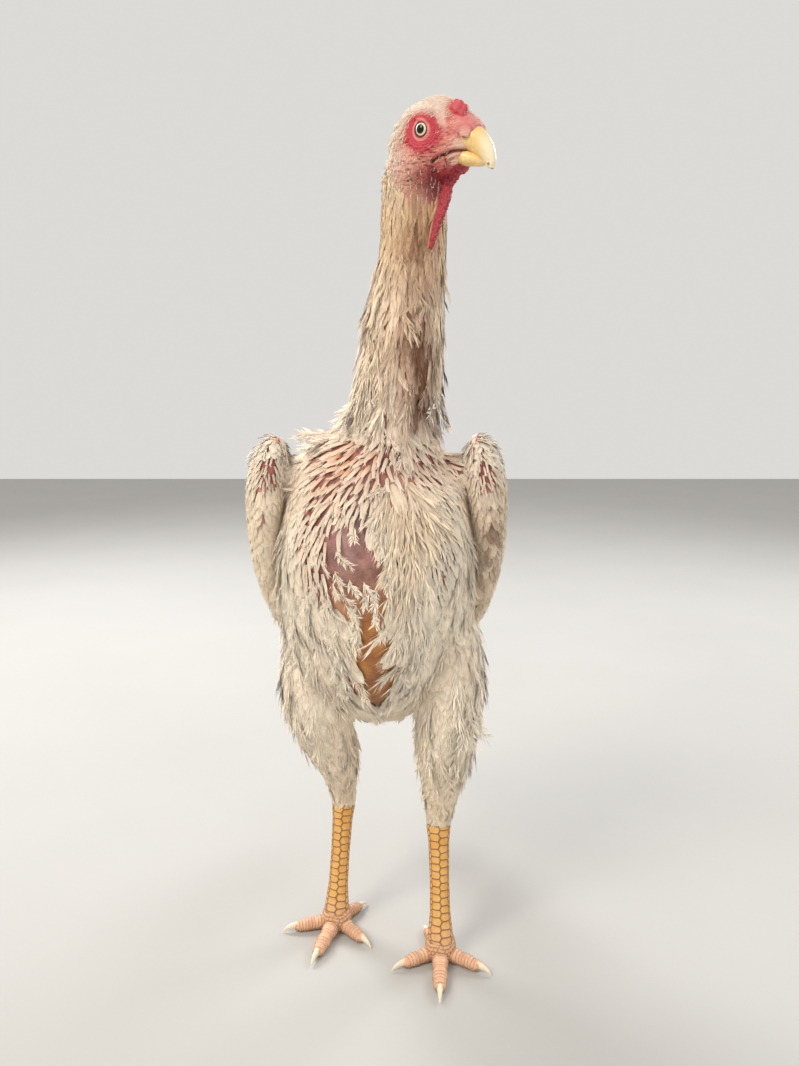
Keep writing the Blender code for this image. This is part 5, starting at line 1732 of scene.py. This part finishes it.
def feather_colours(buff, warm, soil_and_shade):
    """The colours of one long feather."""
    return {"buff": np.array([buff]), "warm": np.array([warm]), "soil_and_shade": np.array([soil_and_shade])}


def make_wing_feathers(coat, rng):
    for side, name in SIDES.items():
        place = wing_surface(wing_rows(side), side)
        for number, tier in enumerate(WING_TIERS):
            for i in range(tier["count"]):
                f = i / (tier["count"] - 1)
                wobble = rng.normal(0, 0.010)
                path, normals = [], []
                for k in range(LONG_NODES):
                    t = k / (LONG_NODES - 1)
                    s = mix((mix(tier["roots"], f), mix(tier["tips"], f) + wobble), t)
                    q = mix((mix(tier["root_q"], f), mix(tier["tip_q"], f)), t)
                    sunk = 0.004 * max(0.0, 1 - t / 0.35)
                    point, normal = place(s, q, tier["lift"] + tier["step"] * i - sunk)
                    path.append(point)
                    normals.append(normal)
                buff = 0.40 + 0.30 * rng.random()
                # The two lowest tiers get more brown: partly dirt, partly painted shade on the flight
                # feathers seen edge-on
                soil_and_shade = 0.04 + 0.10 * rng.random() + (0.16 * rng.random() if number < 2 else 0)
                colours = feather_colours(buff, 0.03, soil_and_shade)
                width = tier["width"] * (0.92 + 0.16 * rng.random())
                tilt = side * VANE_TILT
                long_feather(coat, f"coat_wing_{name}", path, normals, width, tilt, rng, colours)


TAIL_ROOT = Vector((0.0, 0.146, 0.2150))
TAIL_DIP = math.radians(38)


def make_tail_feathers(coat, rng):
    """Main feathers in two folded fans, coverts over them and a short curved sickle each side."""
    for side, name in SIDES.items():
        main = [(i / 6, 2.0 + 13 * i / 6, 0.138 - 0.026 * i / 6, -0.0011 * i, 0.021, 0.30) for i in range(7)]
        coverts = [(i / 4, 4 + 14 * i / 4, 0.070, 0.0032 - 0.0008 * i, 0.017, 0.65) for i in range(5)]
        sickle = [(0.1, 5, 0.150, 0.0014, 0.012, 0.80)]
        for stack, spread, length, over, width, droop in main + coverts + sickle:
            spread = math.radians(spread)
            heading = Vector((side * math.sin(spread), math.cos(spread), 0))
            roll = math.radians(34 + 20 * stack)
            normal = Vector((side * math.sin(roll), 0, math.cos(roll)))
            shift = Vector((side * (0.0070 + 0.0075 * stack), -0.004 * stack, 0.0050 - 0.0090 * stack))
            at = TAIL_ROOT + shift + normal * over
            path, normals = [], []
            for k in range(LONG_NODES):
                path.append(at.copy())
                normals.append(normal)
                dip = TAIL_DIP + droop * (k / (LONG_NODES - 1) - 0.35)
                at = at + (heading * math.cos(dip) - UP * math.sin(dip)) * (length / (LONG_NODES - 1))
            colours = feather_colours(0.15 + 0.15 * rng.random(), 0.0, 0.03)
            long_feather(coat, "coat_tail_feathers", path, normals, width, 0.0, rng, colours)


# Body


def torso_shape():
    """The breast's two halves, the keel and the hollows beside it."""
    return bumps(
        ((0.036, -0.095, 0.385), 0.036, 0.006),
        ((-0.036, -0.095, 0.385), 0.036, 0.006),
        ((0.0, -0.100, 0.385), 0.022, -0.004),
        ((0.0, -0.085, 0.300), 0.022, 0.006),
        ((0.0, -0.060, 0.262), 0.022, 0.007),
        ((0.045, -0.060, 0.285), 0.028, -0.006),
        ((-0.045, -0.060, 0.285), 0.028, -0.006),
    )


def body_forms():
    """The forms of the body below the head, drawn in by the depth of the coat."""
    forms = [
        loft(inner(TORSO_ROWS, 0.0120, 0.0075, 0.0060, 0.0055, 0.0055), 60, 72, bulge=torso_shape()),
        loft(inner(TAIL_ROWS, 0.0055, 0.003), 24, 40),
        loft(neck_skin_rows()[:28], 40, 48),
    ]
    for side in SIDES:
        forms.append(loft(inner(THIGH_ROWS[side], 0.0065, 0.0055, 0.0012), 60, 48))
        forms.append(loft(inner(wing_rows(side)[:-1], 0.0060), 50, 40))
        shoulder = [
            (side * 0.040, -0.020, 0.425, 0.022, 0.022, 0.022, 2.0),
            (side * 0.065, -0.022, 0.428, 0.019, 0.019, 0.019, 2.0),
            (side * 0.088, -0.022, 0.430, 0.010, 0.010, 0.010, 2.0),
        ]
        forms.append(loft(shoulder, 12, 24))
    return forms


def make_body_skin():
    """The skin below the head, raised where it is bare."""
    points, faces, normals = fuse(body_forms(), SKIN_VOXEL, 8)
    bare = bare_map(points)
    pins = pin_map(points)
    push = 0.0028 * np.clip(bare + 0.4 * pins, 0, 1)
    push += 0.0006 * cloud(points, 120.0) * np.clip(bare + pins, 0, 1)
    return points + normals * push[:, None], faces, normals


def make_skin(material, body, head):
    """One piece of skin in the place of all the flesh."""
    body_points, body_faces, _ = body
    head_points, head_faces, head_values = head
    points, faces = joined([(body_points, body_faces), (head_points, head_faces)])
    body_values = skin_values(body_points)
    values = {key: np.concatenate([body_values[key], head_values[key]]) for key in body_values}
    obj = add_piece("skin", points, faces, material, values=values)
    nodes = ["torso", "neck_lower", "neck_upper", "head", "comb", "dewlap", "tail_base"]
    for name in SIDES.values():
        nodes += [f"ear_{name}", f"thigh_{name}", f"drumstick_{name}"]
        nodes += [f"wing_{name}_arm", f"wing_{name}_hand", f"tail_{name}"]
    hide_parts(*nodes)


def below_face(points):
    """Where the neck's feathers end against the face: higher behind the cheek than at the throat."""
    local = head_coordinates(points)
    edge = 0.650 - 0.9 * np.clip(local[:, 0] + 0.012, -0.020, 0.016)
    ragged = 0.004 * cloud(points, 400.0, 1)
    return (points[:, 2] >= HEAD_SKIN_FLOOR) & (points[:, 2] < edge + ragged) & (dewlap_share(points) < 0.3)


def make_fuzz(coat, head, rng):
    """Fine hairlike feathers on the crown, cheeks and the back of the head."""
    points, faces, _ = head
    normals = normals_of(points, faces)

    def spacing(places):
        local = head_coordinates(places)
        forward, lateral, up = local.T
        eye = np.hypot(forward - EYE_AT.x, up - EYE_AT.z)
        beside = np.abs(lateral) > 0.008
        gap = np.full(len(places), 0.0012)
        gap[places[:, 2] < HEAD_SKIN_FLOOR + 0.01] = 0
        gap[beside & (eye < 0.0125)] = 0
        gap[(comb_share(local) > 0.2) | (dewlap_share(places) > 0.3)] = 0
        gap[(forward > 0.034) & ((lateral < 0.002) | (up < 0.005))] = 0
        lower = beside & (up < -0.002) & (forward > -0.006)
        gap[lower & (gap > 0)] = 0.0032
        front = (forward > 0.014) & (up < 0.012) & (lateral < 0.004)
        gap[front & (gap > 0)] = 0.0034
        return gap

    roots, outward = without_notches(*scatter(points, faces, normals, spacing, rng))
    local = head_coordinates(roots)
    tree = BVHTree.FromPolygons(points.tolist(), faces.tolist())
    back = rise(local[:, 0], 0.0, -0.020)
    low = rise(local[:, 2], -0.010, -0.030)
    # The hairs darken a little towards their roots: painted shade under the hairs over them
    form = dict(
        length=0.0034 + 0.0034 * back + 0.0010 * low, width=0.00030, lift=0.0004, stand=0.04, jitter=0.25,
        bend=0.15, curl=0.05, cup=0.1, ridge=0.00018, profile=POINTED_TIP, barbs=HAIR_BARBS,
        turn=np.array((0, 0, -0.8)), colour={"soil_and_shade": 0.0, "warm": 0.2, "buff": 0.1}, fade=0.05,
    )
    add_feathers(coat, "coat_head", tree, roots, outward, form, rng)


# Stage

SUNLIGHT = (1.0, 0.94, 0.84)
WHITE = (1.0, 1.0, 1.0)
# Place, power, size and colour of each lamp
LAMPS = {
    "key": ((-1.4, -1.5, 1.9), 37, 1.0, SUNLIGHT),
    "fill": ((1.5, -1.8, 0.7), 10, 1.6, WHITE),
    "rim": ((-1.1, 1.3, 1.7), 36, 0.8, WHITE),
    "rim_right": ((1.4, 1.2, 1.5), 18, 0.8, WHITE),
}
BIRD_MIDDLE = Vector((0, 0, 0.38))
# The camera: its place in the plan, and its focal length and dip in pixels of the picture's height
CAMERA_AT = Vector((0.018, -0.70, 0.50))
PICTURE_HEIGHT = 1066
FOCAL = 850
DIP = 144
SENSOR = 36
SEED = 11
FEATHERS_FROM = 0.124


def make_stage():
    """Floor, lamps and a pale studio all round."""
    bpy.ops.mesh.primitive_plane_add(size=8)
    floor = bpy.context.object
    floor.name = "floor"
    finish = Finish("floor", 0.9, specular=0.2)
    finish.colour(finish.mix(finish.noise(4.0), (0.46, 0.455, 0.44), (0.50, 0.495, 0.48)))
    floor.data.materials.append(finish.material)
    for name, (at, power, size, colour) in LAMPS.items():
        data = bpy.data.lights.new(name, "AREA")
        data.energy = power
        data.color = colour
        data.size = size
        lamp = bpy.data.objects.new(name, data)
        lamp.location = at
        lamp.rotation_euler = (BIRD_MIDDLE - Vector(at)).to_track_quat("-Z", "Y").to_euler()
        bpy.context.scene.collection.objects.link(lamp)
    bpy.context.scene.view_settings.view_transform = "Standard"
    world = bpy.data.worlds.new("studio")
    bpy.context.scene.world = world
    world.use_nodes = True
    background = world.node_tree.nodes["Background"]
    background.inputs["Color"].default_value = (0.90, 0.88, 0.85, 1)
    background.inputs["Strength"].default_value = 0.80


def make_camera():
    """The view: 0.5 m up, 0.7 m in front of the bird, looking a little down."""
    data = bpy.data.cameras.new("camera")
    data.sensor_width = SENSOR
    data.lens = SENSOR * FOCAL / PICTURE_HEIGHT
    camera = bpy.data.objects.new("camera", data)
    camera.location = CAMERA_AT + PLAN
    camera.rotation_euler = (math.radians(90) - math.atan(DIP / FOCAL), 0, 0)
    bpy.context.scene.collection.objects.link(camera)
    bpy.context.scene.camera = camera


def main():
    rng = np.random.default_rng(SEED)
    plumage = plumage_finish()
    body = make_body_skin()
    head = make_head_skin()
    make_skin(skin_finish(), body, head)
    make_eyes(eye_finish())
    make_bill(horn_finish())
    make_feet(scale_finish(), claw_finish(), rng)
    coat = Coat()
    cover(coat, body, lambda p: (p[:, 2] < HEAD_SKIN_FLOOR) & (p[:, 2] > FEATHERS_FROM), rng)
    cover(coat, (*head[:2], normals_of(*head[:2])), below_face, rng)
    make_fuzz(coat, head, rng)
    make_wing_feathers(coat, rng)
    make_tail_feathers(coat, rng)
    coat.finish(plumage)
    make_stage()
    make_camera()


main()
